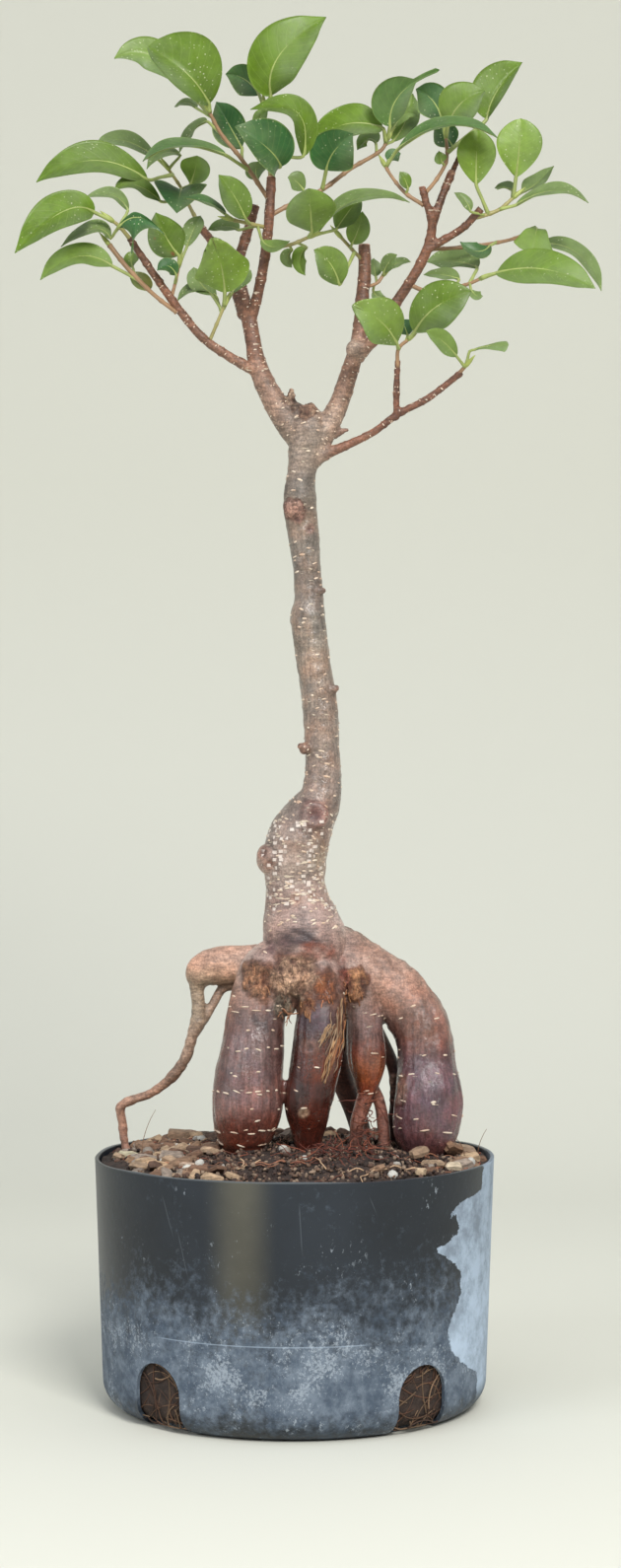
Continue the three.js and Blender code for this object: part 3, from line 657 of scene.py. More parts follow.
def mineral_haze(wiring, height):
    """A thin grey-blue bloom on the lower wall, which thins out upwards and near the foot."""
    cloud, pepper = wiring.noise(34.0, 8.0, 0.68), wiring.noise(330.0, 4.0, 0.7)
    reach = wiring.step(height, 12.0, 76.0, 0.71, -0.18)
    foot = wiring.step(height, 1.0, 16.0, -0.5, 0.0)
    speckled = wiring.times(wiring.minus(pepper, 0.5), 1.4)
    return wiring.step(wiring.plus(reach, foot, wiring.times(cloud, 0.92), speckled), 0.4, 1.2, 0.0, 0.95)


def mineral_scale(wiring, height, haze):
    """White crust in fine specks, in patches where the bloom is thick and in a few places above."""
    moved = wiring.stretch((1, 1, 1), (0.2, 0.1, 0))
    patch = wiring.mottled(36.0, 0.4, 0.66, detail=5.0, harshness=0.7, place=moved)
    low = wiring.step(height, 28.0, 58.0, 1.0, 0.15)
    crowded = wiring.plus(wiring.times(patch, low), wiring.times(haze, 0.25))
    bar = wiring.minus(0.66, wiring.times(crowded, 0.2))
    return wiring.step(wiring.minus(wiring.noise(900.0, 5.0, 0.8), bar), 0.0, 0.1, 0.0, 0.48)


print("one mm round the wall is", round(math.degrees(1 / POT_RIM_RADIUS), 2), "degrees")

# %% Film, scratches and splashes
FILM_TO = 140.0
# The film's left edge: height, distance round the wall
FILM_EDGE = [
    (6, 90), (16, 89), (19, 81), (24, 72), (28, 67), (34, 65), (43, 69), (51, 72.5), (58, 69), (63, 61),
    (65.5, 57.5), (68, 64), (73, 68.5), (77, 66), (81, 70), (85, 88),
]
# Thin scratches: distance round the wall at the top and at the foot, height of the top and of the foot
SCRATCHES = [(-44, -39.5, 74, 56), (-51, -45.5, 87, 70), (2, 3.2, 86, 66), (27, 31, 88, 79)]


def drawn_curve(wiring, value, places):
    """A curve drawn through the given places: its height at a value, both from 0 to 100."""
    made = wiring.node("ShaderNodeFloatCurve", Value=wiring.maths("DIVIDE", value, 100.0))
    line = made.mapping.curves[0]
    ends = [(0, places[0][1]), *places, (100, places[-1][1])]
    while len(line.points) < len(ends):
        line.points.new(0.5, 0.5)
    for point, (along, up) in zip(line.points, ends):
        point.location = (along / 100, up / 100)
        point.handle_type = "AUTO_CLAMPED"
    made.mapping.update()
    return wiring.times(made.outputs[0], 100.0)


def film_patch(wiring, around, height):
    """The pale film on the right: a crisp lobed edge on its left, fading on its right."""
    ragged = wiring.minus(wiring.noise(210.0, 5.0, 0.7), 0.5)
    frayed = wiring.step(height, 50.0, 80.0, 7.0, 16.0)
    from_edge = wiring.minus(around, drawn_curve(wiring, height, FILM_EDGE))
    left = wiring.step(wiring.plus(from_edge, wiring.times(ragged, frayed)), 0.0, 0.7)
    right = wiring.step(around, FILM_TO - 25.0, FILM_TO, 1.0, 0.0)
    worn = wiring.mottled(75.0, 0.3, 0.62, 0.45, 0.95, 6.0, 0.75)
    return wiring.times(left, right, wiring.step(height, 4.0, 14.0), worn)


def scratch(wiring, around, height, at_top, at_foot, top, foot):
    """One thin slanting line on the wall."""
    slope = (at_top - at_foot) / (top - foot)
    line = wiring.maths("MULTIPLY_ADD", height, slope, at_foot - slope * foot)
    beside = wiring.maths("ABSOLUTE", wiring.minus(around, line))
    near = wiring.step(beside, 0.05, 0.3, 0.08, 0.0)
    return wiring.times(near, wiring.window(height, foot, foot + 6, top - 4, top))


def flecks(wiring):
    """Dried white splashes: short marks in a few loose groups."""
    mark = wiring.mottled(560.0, 0.6, 0.68, harshness=0.7, place=wiring.stretch((1, 1, 0.6)))
    return wiring.times(mark, wiring.mottled(48.0, 0.56, 0.66, harshness=0.6), 0.5)


print("the film's edge runs through", len(FILM_EDGE), "places; scratches:", len(SCRATCHES))

# %% The pot's plastic
PLASTIC_COLOUR = linear(27, 33, 41)
BAND_COLOUR = linear(80, 78, 68)
HAZE_COLOURS = linear(70, 83, 99), linear(111, 123, 137)
SCALE_COLOUR = linear(176, 186, 196)
FILM_COLOUR = linear(170, 187, 206)
CUT_RIM_COLOUR = linear(92, 98, 102)
BAND_FROM, BAND_TO = -31.0, -9.0
SEAM_HEIGHT = 34.6
SEAM_FROM, SEAM_TO = -57.0, 29.0


def seam_line(wiring, around, height):
    """The fine level line where the two halves of the mould met."""
    above = wiring.maths("ABSOLUTE", wiring.minus(height, SEAM_HEIGHT))
    ends = wiring.window(around, SEAM_FROM, SEAM_FROM + 8, SEAM_TO - 4, SEAM_TO)
    return wiring.times(wiring.step(above, 0.1, 0.3, 0.4, 0.0), ends)


def bare_plastic(wiring, around, height):
    """The plastic itself with its olive-brown band, lighter and darker in soft patches."""
    band = wiring.window(around, BAND_FROM - 3, BAND_FROM + 12, BAND_TO - 9, BAND_TO + 4)
    band = wiring.times(band, 0.8, wiring.step(height, 28.0, 60.0, 0.25, 1.0))
    shade = wiring.mottled(20.0, 0.3, 0.7, 0.72, 1.35, 4.0)
    return wiring.shaded(wiring.mix(band, PLASTIC_COLOUR, BAND_COLOUR), shade)


def plastic_material():
    wiring = Finish("black_plastic_with_water_stains")
    around, height = wall_place(wiring)
    haze = mineral_haze(wiring, height)
    scale = mineral_scale(wiring, height, haze)
    film = film_patch(wiring, around, height)
    clotted = wiring.mottled(130.0, 0.36, 0.66, detail=6.0, harshness=0.78)
    film_shade = wiring.step(height, 25.0, 85.0, 1.12, 0.84)
    colour = wiring.layered(bare_plastic(wiring, around, height), [
        (haze, wiring.mix(clotted, *HAZE_COLOURS)),
        (scale, SCALE_COLOUR),
        (film, wiring.shaded(FILM_COLOUR, film_shade)),
        (flecks(wiring), SCALE_COLOUR),
        *[(scratch(wiring, around, height, *facts), SCALE_COLOUR) for facts in SCRATCHES],
        (seam_line(wiring, around, height), FILM_COLOUR),
        (wiring.step(height, POT_HEIGHT - 1.0, POT_HEIGHT - 0.6, 0.0, 0.6), CUT_RIM_COLOUR),
    ])
    chalk = wiring.maths("MAXIMUM", wiring.maths("MAXIMUM", scale, haze), film)
    grain = wiring.plus(wiring.noise(300.0, 4.0, 0.6), wiring.times(chalk, 1.2))
    normal = wiring.bump(grain, 0.22, 0.0004)
    rough = wiring.step(chalk, 0.0, 0.7, 0.36, 0.72)
    return wiring.finish(Base_Color=colour, Roughness=rough, IOR=1.44, Normal=normal)


pot_piece = show("nursery_pot", tub_mesh(), plastic_material(), "pot_plastic", "pot")
cut_notches(pot_piece)
pot_piece.data.set_sharp_from_angle(angle=math.radians(40))
print("pot faces:", len(pot_piece.data.polygons), "materials:", len(pot_piece.data.materials))

# %% [markdown]
# ## The wood
# A ginseng ficus is grown from seed in deep sand, so its first roots swell into tubers. Lifted out and
# potted high, they stand in the air like legs. Trunk, legs and branches are one grown piece. Each limb is
# a row of stations: x and z as seen from the front, the depth, and the radius there.

# %% Limb tables
TRUNK = [
    [5, 157, 2, 8], [5.5, 165, 0, 13], [4.6, 171, 0, 15.6], [3, 177.5, 0, 14.8], [1.2, 186.6, 0, 12.1],
    [0.2, 196, 0, 11], [0.2, 203.7, 0, 11.9], [1.4, 211, 0, 11.7], [5.3, 218.9, 0, 9.9],
    [9, 225, 0, 8.1], [10.5, 232, 0, 7], [10.4, 247.2, 0, 6.6], [9.5, 262.3, 0, 6.7],
    [7.4, 276.5, 0, 6.4], [5.5, 289.4, 0, 6.5], [4.9, 295, 0, 6.6], [5.5, 299.3, 0, 5.7],
    [4.1, 319.2, 0, 5.5], [3.2, 328, 0, 6], [2, 339.6, 0, 6.2], [2.7, 349.2, 0, 5.4],
    [5, 361, 0, 7.2], [4.5, 367, 0, 7.4], [2, 373, 0, 5],
]

ROOTS = [
    [
        [-2, 168, -1, 9], [-8.5, 162, -4, 10.8], [-13, 153, -8, 10.7], [-14.6, 144, -10, 10.9],
        [-15.6, 134, -11, 11.5], [-17.2, 119, -11, 12.9], [-18, 111, -11, 13], [-18.3, 104.5, -10, 11.6],
        [-19.4, 97.5, -9, 8], [-18, 80, -8, 4], [-16, 66, -7, 2],
    ],
    [
        [6, 168, -2, 9], [9, 158, -8, 9.3], [10, 148, -12, 8.8], [9.6, 140, -13, 9.1],
        [8.4, 129.8, -13, 9.3], [6.8, 122, -13, 9.2], [5.6, 113.7, -13, 8.8], [5.1, 107.7, -12, 7.8],
        [4.7, 101, -11, 6], [5, 93, -11, 4], [6, 82, -10, 3], [8, 68, -9, 1.8],
    ],
    [
        [16, 166, 0, 8], [22.6, 157, -3, 8], [25.8, 147, -4, 6.4], [26.8, 136, -4, 7],
        [27.3, 128.5, -4, 7.5], [27.4, 121.5, -4, 5.4], [27.4, 116.5, -4, 3.6], [25.4, 110, -4, 3],
        [23.4, 103, -4, 2.8], [22.4, 92, -3, 2.6], [22, 80, -2, 1.8],
    ],
    [
        [6, 168, 3, 10], [14, 168, 4, 11], [24, 163, 3, 11], [37, 154.4, 3, 11.3], [45.6, 144, 1, 10.9],
        [49.2, 134.4, 0, 10.7], [49.9, 125.5, -1, 11.2], [50.3, 116.7, -3, 12.5], [49.9, 107.8, -3, 12.8],
        [49.6, 100.7, -3, 11.2], [49.6, 93, -3, 7.6], [48, 80, -3, 4.4], [44, 66, -3, 2],
    ],
    [
        [-4, 165, 3, 8], [-16, 164.2, 4, 7.2], [-28.6, 163.6, 4, 7.1], [-35, 161.4, 4, 6],
        [-36.6, 156, 4, 3], [-36.2, 148, 4, 2.5], [-36.4, 142.4, 4, 3], [-38.4, 137.5, 4, 2.2],
        [-41, 129, 6, 2.1], [-46.4, 121.5, 9, 2], [-54.4, 115.4, 13, 1.7], [-60.6, 113.2, 16, 1.7],
        [-65.4, 110.6, 18, 1.8], [-64.8, 104, 19, 1.7], [-64, 97, 19, 1.6], [-60, 82, 17, 1.4],
    ],
    [[-19, 157, 6, 3], [-26.6, 155.4, 6, 1.9], [-30.8, 149, 5, 1.7], [-34.4, 142.6, 4.4, 1.6],
    [-38, 138.4, 4, 1.2]],
    [
        [9, 166, 7, 7.5], [12, 160, 14, 8], [15, 140, 17, 5.5], [17.4, 123, 16, 4.4], [23, 108, 14, 4],
        [26, 96, 12, 3.6],
        [27, 80, 11, 2],
    ],
    [[27, 121, -1, 3], [31.6, 113, 1, 2.2], [33.4, 104, 2, 2.4], [34, 92, 2, 2.2], [34, 80, 2, 1.4]],
    [
        [27, 144, 0, 4], [33, 134, 6, 3], [37, 126, 10, 2.4], [38.4, 115, 12, 2.4], [37.4, 104, 13, 2.5],
        [35, 84, 13, 2],
    ],
    [[-1, 170, -2, 9], [-3, 160, -6, 8], [-3.4, 152, -9, 5.6], [-3, 146.5, -11, 2.6]],
]

BRANCHES = [
    [
        [3, 362, 0, 6], [-3, 369, 0, 5], [-8.2, 377, 1, 4.3], [-13.7, 389, 2, 3.6], [-15.6, 398, 3, 2.9],
        [-17.1, 407, 4, 3], [-19.4, 416, 8, 2.3], [-21, 428, 12, 2.1], [-18, 439, 14, 1.9],
        [-14.6, 450, 16, 1.7],
    ],
    [
        [-16.9, 405, 4, 2.2], [-14, 416, 1, 2], [-11.7, 427, -1, 1.9], [-10.4, 437, -2, 1.9],
        [-9.5, 446, -3, 1.9], [-8.7, 461, -3, 1.7],
    ],
    [[-19.4, 409, 6, 2.2], [-23.1, 421, 12, 2], [-28.9, 433, 18, 1.8], [-35.6, 442, 23, 1.5]],
    [
        [-13.4, 387, 2, 2.2], [-17.6, 389, 0, 2], [-33.4, 399, -5, 1.7], [-42.2, 409, -8, 1.6],
        [-52, 422.5, -13, 1.5], [-62.5, 438, -19, 1.3],
    ],
    [
        [7, 358, 0, 5.5], [12.5, 367, 0, 4.4], [17.4, 377, 0, 3.6], [20.9, 388, 1, 3.3],
        [23.5, 396, 1, 3], [24.9, 407, 2, 2.6], [25.6, 416, 3, 2.5], [26.4, 425, 4, 2.4],
        [26.2, 435, 5, 2.3],
    ],
    [
        [24, 393, 1, 2.6], [27.5, 397, -2, 2.3], [32.3, 402, -5, 2.2], [38.5, 413.5, -7, 2],
        [45.3, 424, -9, 1.9], [50.6, 435.4, -11, 1.9], [51.8, 443.7, -13, 1.7],
        [49.6, 451, -15, 1.4], [47.9, 457.4, -16, 1.3],
    ],
    [[51.4, 440, -12, 1.6], [54.4, 450, -13, 1.5], [59, 462, -13, 1.5]],
    [[50.2, 433.5, -11, 1.7], [56, 436.8, -12, 1.5], [63.5, 441.5, -14, 1.4], [70.4, 448.8, -17, 1.4]],
    [
        [4, 352, 0, 4], [11, 356, -2, 2.4], [21.8, 360.5, -4, 1.6], [30.4, 365, -6, 1.4],
        [38.4, 371, -8, 1.4], [49.8, 377, -11, 1.3], [63.2, 387.2, -16, 1.2],
    ],
    [[38.3, 370, -8, 1.2], [38.4, 380.6, -10, 1.2], [38.9, 392, -12, 1.1]],
    [[58.6, 460, -13, 1.3], [61, 466, -12, 0.9], [62.8, 469.5, -11, 0.7]],
]

STUBS = [
    [[-1, 372, 0, 3.6], [-1.5, 381, -1, 0.5]],
    [[4.5, 368, -1, 4.4], [6, 375, -2, 0.6]],
    [[15, 364, 0, 2], [20.6, 365.6, 0, 0.4]],
    [[14, 267.5, -3, 2], [16.6, 268.4, -4, 0.8]],
    [[4, 245.4, -4, 2.2], [1.6, 246.6, -6, 0.9]],
    [[9, 304.6, -3, 1.8], [11.6, 305, -4, 0.7]],
]

# Swollen knots and branch scars: [x, z, depth, radius]
KNOBS = [
    [-7.5, 203.7, -2, 6.6], [7.2, 219.6, -5, 6], [0, 336.5, -3.5, 4.2], [23.2, 395.6, -1, 3.6],
    [-1, 160, -8.6, 8.6],
]

print("roots:", len(ROOTS), "branches:", len(BRANCHES), "stubs:", len(STUBS), "knobs:", len(KNOBS))

# %% [markdown]
# ### One skin over all the limbs
# Tubes that only overlap would meet in hard creases, and real bark never does that. A voxel remesh wraps
# one skin round all of them at once. It also rounds the thin limbs a little too much, so afterwards every
# point is moved back to its own limb's radius, except in the creases, where the soft fillet is kept: it
# looks like the collar that bark grows round a branch.

# %% Paths of the limbs
LIMB_STEP = 1.0
FIRST_BRANCH = 1 + len(ROOTS)
THICK_LIMB = 8.5
SKIN_VOXEL = 0.8


def station_rows(table):
    return [[*seen(x, z, depth), radius] for x, z, depth, radius in table]


def limb_paths():
    paths = [smooth_path(station_rows(table), LIMB_STEP) for table in [TRUNK, *ROOTS, *BRANCHES, *STUBS]]
    return paths + [np.array([[*seen(x, z, depth), radius]]) for x, z, depth, radius in KNOBS]


def rounded_ends(path):
    """The same path with the first and last rings closed off softly."""
    ends = path.copy()
    ends[0, 3] *= 0.8
    ends[-1, 3] *= 0.8
    return ends


def ball_places(path):
    """A knob as a very short tube: rings of a sphere along its upright axis."""
    x, y, z, radius = path[0]
    angles = np.linspace(-math.pi / 2, math.pi / 2, 12)[1:-1]
    return np.array([[x, y, z + radius * math.sin(a), radius * math.cos(a)] for a in angles])


def raw_wood(paths):
    pile = Pile()
    for path in paths:
        places = ball_places(path) if len(path) == 1 else rounded_ends(path)
        sides = 28 if path[:, 3].max() > THICK_LIMB else 16
        pile.add(*tube(places, sides))
    return pile.mesh("raw_wood")


def remeshed(mesh, voxel):
    """One closed skin round everything in the mesh, a little smoothed."""
    holder = placed("wrap", mesh)
    wrap = holder.modifiers.new("wrap", "REMESH")
    wrap.mode = "VOXEL"
    wrap.voxel_size = voxel * MM
    smooth = holder.modifiers.new("smooth", "SMOOTH")
    smooth.factor = 0.5
    smooth.iterations = 4
    skin = as_changed(holder)
    bpy.data.objects.remove(holder)
    return skin


def mesh_rows(mesh, what="co"):
    rows = np.empty(len(mesh.vertices) * 3, np.float32)
    mesh.vertices.foreach_get(what, rows)
    return rows.reshape(-1, 3).astype(float)


PATHS = limb_paths()
wood_mesh = remeshed(raw_wood(PATHS), SKIN_VOXEL)
print("limbs:", len(PATHS), "skin faces:", len(wood_mesh.polygons))

# %% Distance to the limbs
AT_ONCE = 20000


def limb_distances(points):
    """For every point and limb: how far outside the limb it is, and the nearest place on its path."""
    outside = np.empty((len(PATHS), len(points)), np.float32)
    nearest = np.empty((len(PATHS), len(points)), np.int32)
    flat = points.astype(np.float32)
    for number, path in enumerate(PATHS):
        centres, radii = path[:, :3].astype(np.float32), path[:, 3].astype(np.float32)
        for start in range(0, len(flat), AT_ONCE):
            some = slice(start, start + AT_ONCE)
            squares = (flat[some] ** 2).sum(1)[:, None] + (centres ** 2).sum(1)[None]
            squares = squares - 2 * flat[some] @ centres.T
            gaps = np.sqrt(np.maximum(squares, 0)) - radii
            best = gaps.argmin(1)
            outside[number, some] = gaps[np.arange(len(best)), best]
            nearest[number, some] = best
    return outside, nearest


def pulled_to_limbs(points, outside, nearest):
    """Moves points to their own limb's radius, but leaves the fillets between limbs."""
    order = np.sort(outside, axis=0)
    owner = outside.argmin(0)
    spots = nearest[owner, range(len(points))]
    rows = np.array([PATHS[limb][spot, :3] for limb, spot in zip(owner, spots)])
    away = points - rows
    away /= np.maximum(np.linalg.norm(away, axis=1, keepdims=True), 1e-6)
    clear_of_others = np.clip((order[1] - 0.5) / 1.5, 0, 1)
    shift = np.where(order[0] < 0, -order[0], -order[0] * clear_of_others)
    return points + away * np.clip(shift, -1.0, 1.5)[:, None], owner


wood_points = mesh_rows(wood_mesh) / MM
outside, nearest = limb_distances(wood_points)
wood_points, owner = pulled_to_limbs(wood_points, outside, nearest)
print("points on trunk and legs:", int((owner < FIRST_BRANCH).sum()), "of", len(owner))

# %% [markdown]
# ### Scars and eyes
# Two kinds of marks give this trunk its face. Where a root was torn off, the wood healed over as a corky,
# fibrous patch. Where a twig fell, a round eye stayed, with a sunken middle and a raised lip. Both are
# written down as they look from the front, with stains and painted shade that only colour the skin, and
# only skin that faces the front takes them.

# %% Marks on the bark
# Torn patches: x, z, half width, half height, push, roughness, softness of the border, dark, light colour
TORN_PATCHES = [
    [-13.6, 158.2, 5.8, 7.4, 0.5, 1.1, 0.35, (92, 56, 40), (184, 134, 98)],
    [0, 159, 11, 8.6, 0.5, 1.1, 0.35, (98, 72, 60), (176, 144, 118)],
    [11.6, 155.4, 3.8, 6.2, 0.4, 0.9, 0.5, (112, 62, 42), (178, 112, 70)],
    [4.6, 148.4, 3.4, 3.4, 0.4, 0.8, 0.3, (96, 56, 38), (178, 128, 86)],
    [-4, 148.2, 3.8, 5, 0.2, 0.9, 0.3, (70, 58, 50), (150, 134, 114)],
    [23, 156.8, 5, 6.4, 0.6, 1.1, 0.3, (88, 46, 32), (186, 132, 90)],
    [18.4, 158.6, 2.4, 4.2, 0.3, 0.8, 0.5, (96, 46, 38), (156, 92, 74)],
    [38, 117, 5.5, 6, 0.3, 0.7, 0.2, (96, 64, 58), (166, 136, 120)],
    [-1.5, 379, 4, 5, 0.0, 1.1, 0.2, (124, 92, 76), (196, 168, 142)],
    [5.5, 373, 4, 4, 0.0, 1.0, 0.2, (118, 86, 72), (188, 158, 132)],
    [0.3, 336, 3.6, 4, 0.3, 0.3, 0.5, (150, 108, 96), (196, 158, 140)],
]
# Stains and painted shade, which only colour the skin: x, z, half width, half height, softness, strength,
# colour
STAINS_AND_PAINTED_SHADE = [
    # The dark rows at z 169 to 172 paint the patch above the torn scar: partly a dark mark, partly painted
    # shadow under the crown
    [1.5, 170.4, 16, 9, 0.9, 0.6, (134, 98, 94)], [0.8, 172.2, 10.5, 6, 0.7, 0.95, (58, 42, 44)],
    [-6.5, 169, 6, 4, 0.6, 0.8, (74, 52, 52)], [8.8, 168.6, 6.6, 3.6, 0.5, 0.85, (132, 68, 46)],
    [14.4, 164, 4.4, 4.4, 0.7, 0.7, (116, 72, 60)], [-11, 144.4, 5, 5.5, 0.7, 0.75, (58, 44, 48)],
    [-18, 124, 9, 16, 0.8, 0.3, (104, 86, 104)], [-7, 131, 4, 12, 0.8, 0.45, (106, 56, 48)],
    [-16, 101.5, 13, 7, 0.6, 0.6, (116, 54, 36)], [7.4, 144.4, 6.5, 6, 0.5, 0.75, (88, 70, 80)],
    [5.8, 133, 3.4, 2.6, 0.5, 0.75, (138, 84, 56)], [2.2, 139, 4.4, 6, 0.8, 0.55, (58, 32, 30)],
    [11.4, 124, 6, 9, 0.7, 0.6, (126, 62, 36)], [7, 116.4, 6, 3, 0.8, 0.5, (70, 48, 52)],
    [28.4, 143, 4.6, 7, 0.7, 0.35, (104, 78, 82)], [27.4, 125, 6.4, 6, 0.6, 0.75, (148, 90, 56)],
    [48, 121, 9, 13, 0.8, 0.35, (108, 80, 98)], [57, 111, 6, 12, 0.8, 0.3, (100, 76, 94)],
    # Painted shade: these thin dark upright streaks darken the legs' flanks and the creases between them
    [-25.6, 126, 1.6, 18, 0.9, 0.6, (84, 48, 44)], [-20.4, 134, 1.1, 12, 0.9, 0.5, (84, 54, 52)],
    [-9, 122, 1.3, 14, 0.9, 0.55, (80, 46, 44)], [-4.6, 124, 2, 18, 0.9, 0.5, (76, 40, 38)],
    [0.6, 124, 1.6, 18, 0.8, 0.6, (52, 24, 20)], [12.6, 112, 2.4, 14, 0.9, 0.5, (60, 28, 22)],
    [39.6, 116, 2.4, 16, 0.9, 0.45, (84, 52, 56)], [55.6, 126, 2, 16, 0.9, 0.35, (116, 72, 68)],
    [-10.6, 204.6, 5, 8.5, 0.9, 0.6, (128, 104, 96)], [6, 224.4, 4.4, 1.5, 0.5, 0.95, (66, 46, 46)],
    [10.6, 221.4, 1.3, 3.4, 0.6, 0.8, (84, 56, 54)], [9, 214, 4, 4, 0.9, 0.6, (150, 112, 96)],
    [9.4, 206, 3, 7, 0.9, 0.5, (160, 136, 104)],
    [41, 152, 12, 7, 0.9, 0.5, (176, 126, 102)], [49, 139, 8, 8, 0.9, 0.5, (158, 104, 80)],
]
# Eyes: x, z, radius, depth of the middle, its colour, colour of the lip
EYES = [
    [7.4, 220.4, 4.4, 1.9, (98, 58, 54), (146, 104, 92)],
    [-11.6, 206.2, 2.1, 0.6, (98, 64, 54), (150, 116, 100)],
    [-9.2, 202.2, 1.9, 0.5, (100, 66, 54), (150, 118, 102)],
    [0.8, 188.8, 2.0, 0.4, (122, 84, 70), (164, 134, 118)],
    [6.6, 189.8, 1.4, 0.3, (134, 98, 82), (166, 138, 122)],
    [2.6, 214.4, 1.6, 0.4, (120, 86, 72), (156, 128, 112)],
    [3.4, 108.2, 1.4, 0.4, (150, 118, 92), (196, 164, 132)],
    [6, 132.6, 2.2, 0.3, (92, 58, 50), (138, 96, 84)],
    [1, 332, 1.6, 0.4, (96, 66, 58), (150, 116, 102)],
    [5.8, 328, 1.5, 0.4, (112, 76, 64), (166, 130, 114)],
]
print("torn patches:", len(TORN_PATCHES), "stains:", len(STAINS_AND_PAINTED_SHADE), "eyes:", len(EYES))

# %% How much a mark covers
RAGGED = 1.8


def as_seen(points):
    """x and z of points as they look from the viewpoint, on the trunk's plane."""
    ahead = points - VIEWPOINT
    return VIEWPOINT + ahead * (-VIEWPOINT[1] / ahead[:, 1])[:, None]


def facing_front(normals):
    return np.clip(-normals[:, 1] * 2.2 + 0.1, 0, 1)


def stirred(flat):
    """x and z of the points, moved about a little, which gives a patch its ragged border."""
    coarse = np.column_stack([lumps(flat, 3.2, 31), lumps(flat, 3.2, 32)])
    fine = np.column_stack([lumps(flat, 1.1, 33), lumps(flat, 1.1, 34)])
    return flat[:, [0, 2]] + (coarse * RAGGED + fine * RAGGED * 0.4)


def patch_share(places, front, x, z, half_width, half_height, softness):
    """1 inside a patch and 0 outside."""
    off = np.hypot((places[:, 0] - x) / half_width, (places[:, 1] - z) / half_height)
    return np.clip((1 + softness / 2 - off) / softness, 0, 1) * front


def eye_gap(flat, front, x, z, radius):
    """How far from an eye's middle, in its radii; far away where the skin looks elsewhere."""
    gap = np.hypot(flat[:, 0] - x, flat[:, 2] - z) / radius
    return np.where(front > 0.05, gap, 9.0)


def marks_on(points, normals):
    """For every point: how far it lies in each torn patch, stain and patch of painted shade, and its gap to
    each eye.
    """
    flat, front = as_seen(points), facing_front(normals)
    places = stirred(flat)
    torn = [patch_share(places, front, *row[:4], row[6]) for row in TORN_PATCHES]
    stained = [patch_share(places, front, *row[:5]) for row in STAINS_AND_PAINTED_SHADE]
    return torn, stained, [eye_gap(flat, front, *row[:3]) for row in EYES]


def torn_fibres(points):
    """Shreds and crumbling lumps from -1 to 1, as cork breaks and wood tears along its grain."""
    upright = points * np.array([1, 1, 0.3])
    lumpy = 0.7 * lumps(points, 2.6, 36) + 0.5 * lumps(points, 1.1, 37)
    return np.clip(0.45 * lumps(upright, 1.1, 35) + lumpy, -1, 1)


print("skin facing the viewer:", int((mesh_rows(wood_mesh, "normal")[:, 1] < 0).sum()), "points")

# %% [markdown]
# ### Bark relief
# The tubers are lumpy with fine upright creases, the trunk has soft level wrinkles, the arched legs are
# ringed like an elbow, the thin branches swell at every old leaf scar, and torn places are rough. Each of
# these is one small push along the surface's own direction, so they can be added up.

# %% Bark relief
RING_EVERY = 8.5


def along_limb(owner, nearest):
    return nearest[owner, range(len(owner))] * LIMB_STEP


def bark_relief(points, owner, nearest, torn, gaps, shreds):
    tuber = ((owner >= 1) & (owner <= 4)).astype(float)
    trunk = (owner == 0).astype(float)
    arch = ((owner == 4) & (points[:, 2] > 135) | (owner == 5)).astype(float)
    thin = (owner >= FIRST_BRANCH).astype(float)
    along = along_limb(owner, nearest)
    upright = points * np.array([1, 1, 0.1])
    level = points * np.array([0.35, 0.35, 1])
    push = tuber * (0.5 * lumps(points, 13, 1) + 0.22 * lumps(points, 5, 2))
    push += tuber * (0.32 * lumps(upright, 1.6, 3) + 0.07 * lumps(points, 1.8, 8))
    push += trunk * (0.3 * lumps(points, 9, 4) + 0.2 * lumps(level, 1.7, 5) + 0.08 * lumps(points, 1.8, 9))
    ringed = np.column_stack([along, points[:, 1] * 0.2, points[:, 0] * 0.1])
    push += arch * 0.28 * lumps(ringed, 2.0, 10)
    rings = np.cos(along / RING_EVERY * 2 * math.pi)
    push += thin * (0.2 * np.clip(rings - 0.75, 0, 1) * 4 + 0.12 * lumps(points, 2.5, 6))
    for (*_, raised, rough, _, _, _), share in zip(TORN_PATCHES, torn):
        push += share * (raised + rough * shreds)
    for (*_, depth, _, _), gap in zip(EYES, gaps):
        lip = np.exp(-((gap - 0.95) / 0.28) ** 2)
        push += 0.45 * depth * lip - depth * np.clip(1 - gap / 0.8, 0, 1)
    return push


def move_points(mesh, points):
    mesh.vertices.foreach_set("co", np.ascontiguousarray(points * MM, np.float32).ravel())
    mesh.update()


move_points(wood_mesh, wood_points)
wood_normals = mesh_rows(wood_mesh, "normal")
smooth_points = wood_points
torn, stained, gaps = marks_on(smooth_points, wood_normals)
shreds = torn_fibres(smooth_points)
relief = bark_relief(smooth_points, owner, nearest, torn, gaps, shreds)
wood_points = wood_points + wood_normals * relief[:, None]
move_points(wood_mesh, wood_points)
print("relief from", round(float(relief.min()), 2), "to", round(float(relief.max()), 2), "mm")

# %% [markdown]
# ### The colour of the skin
# Wood that grew in the open is grey-brown. The crown where the legs part is pinkish tan, and the tubers
# run from purple-brown to red-brown where wet soil stained them. So every limb has its own few colours by
# height, and near a junction the limbs' colours are mixed by how close each of them is. The heights are
# stirred a little by noise, so that one colour runs into the next in tongues and not along a line.

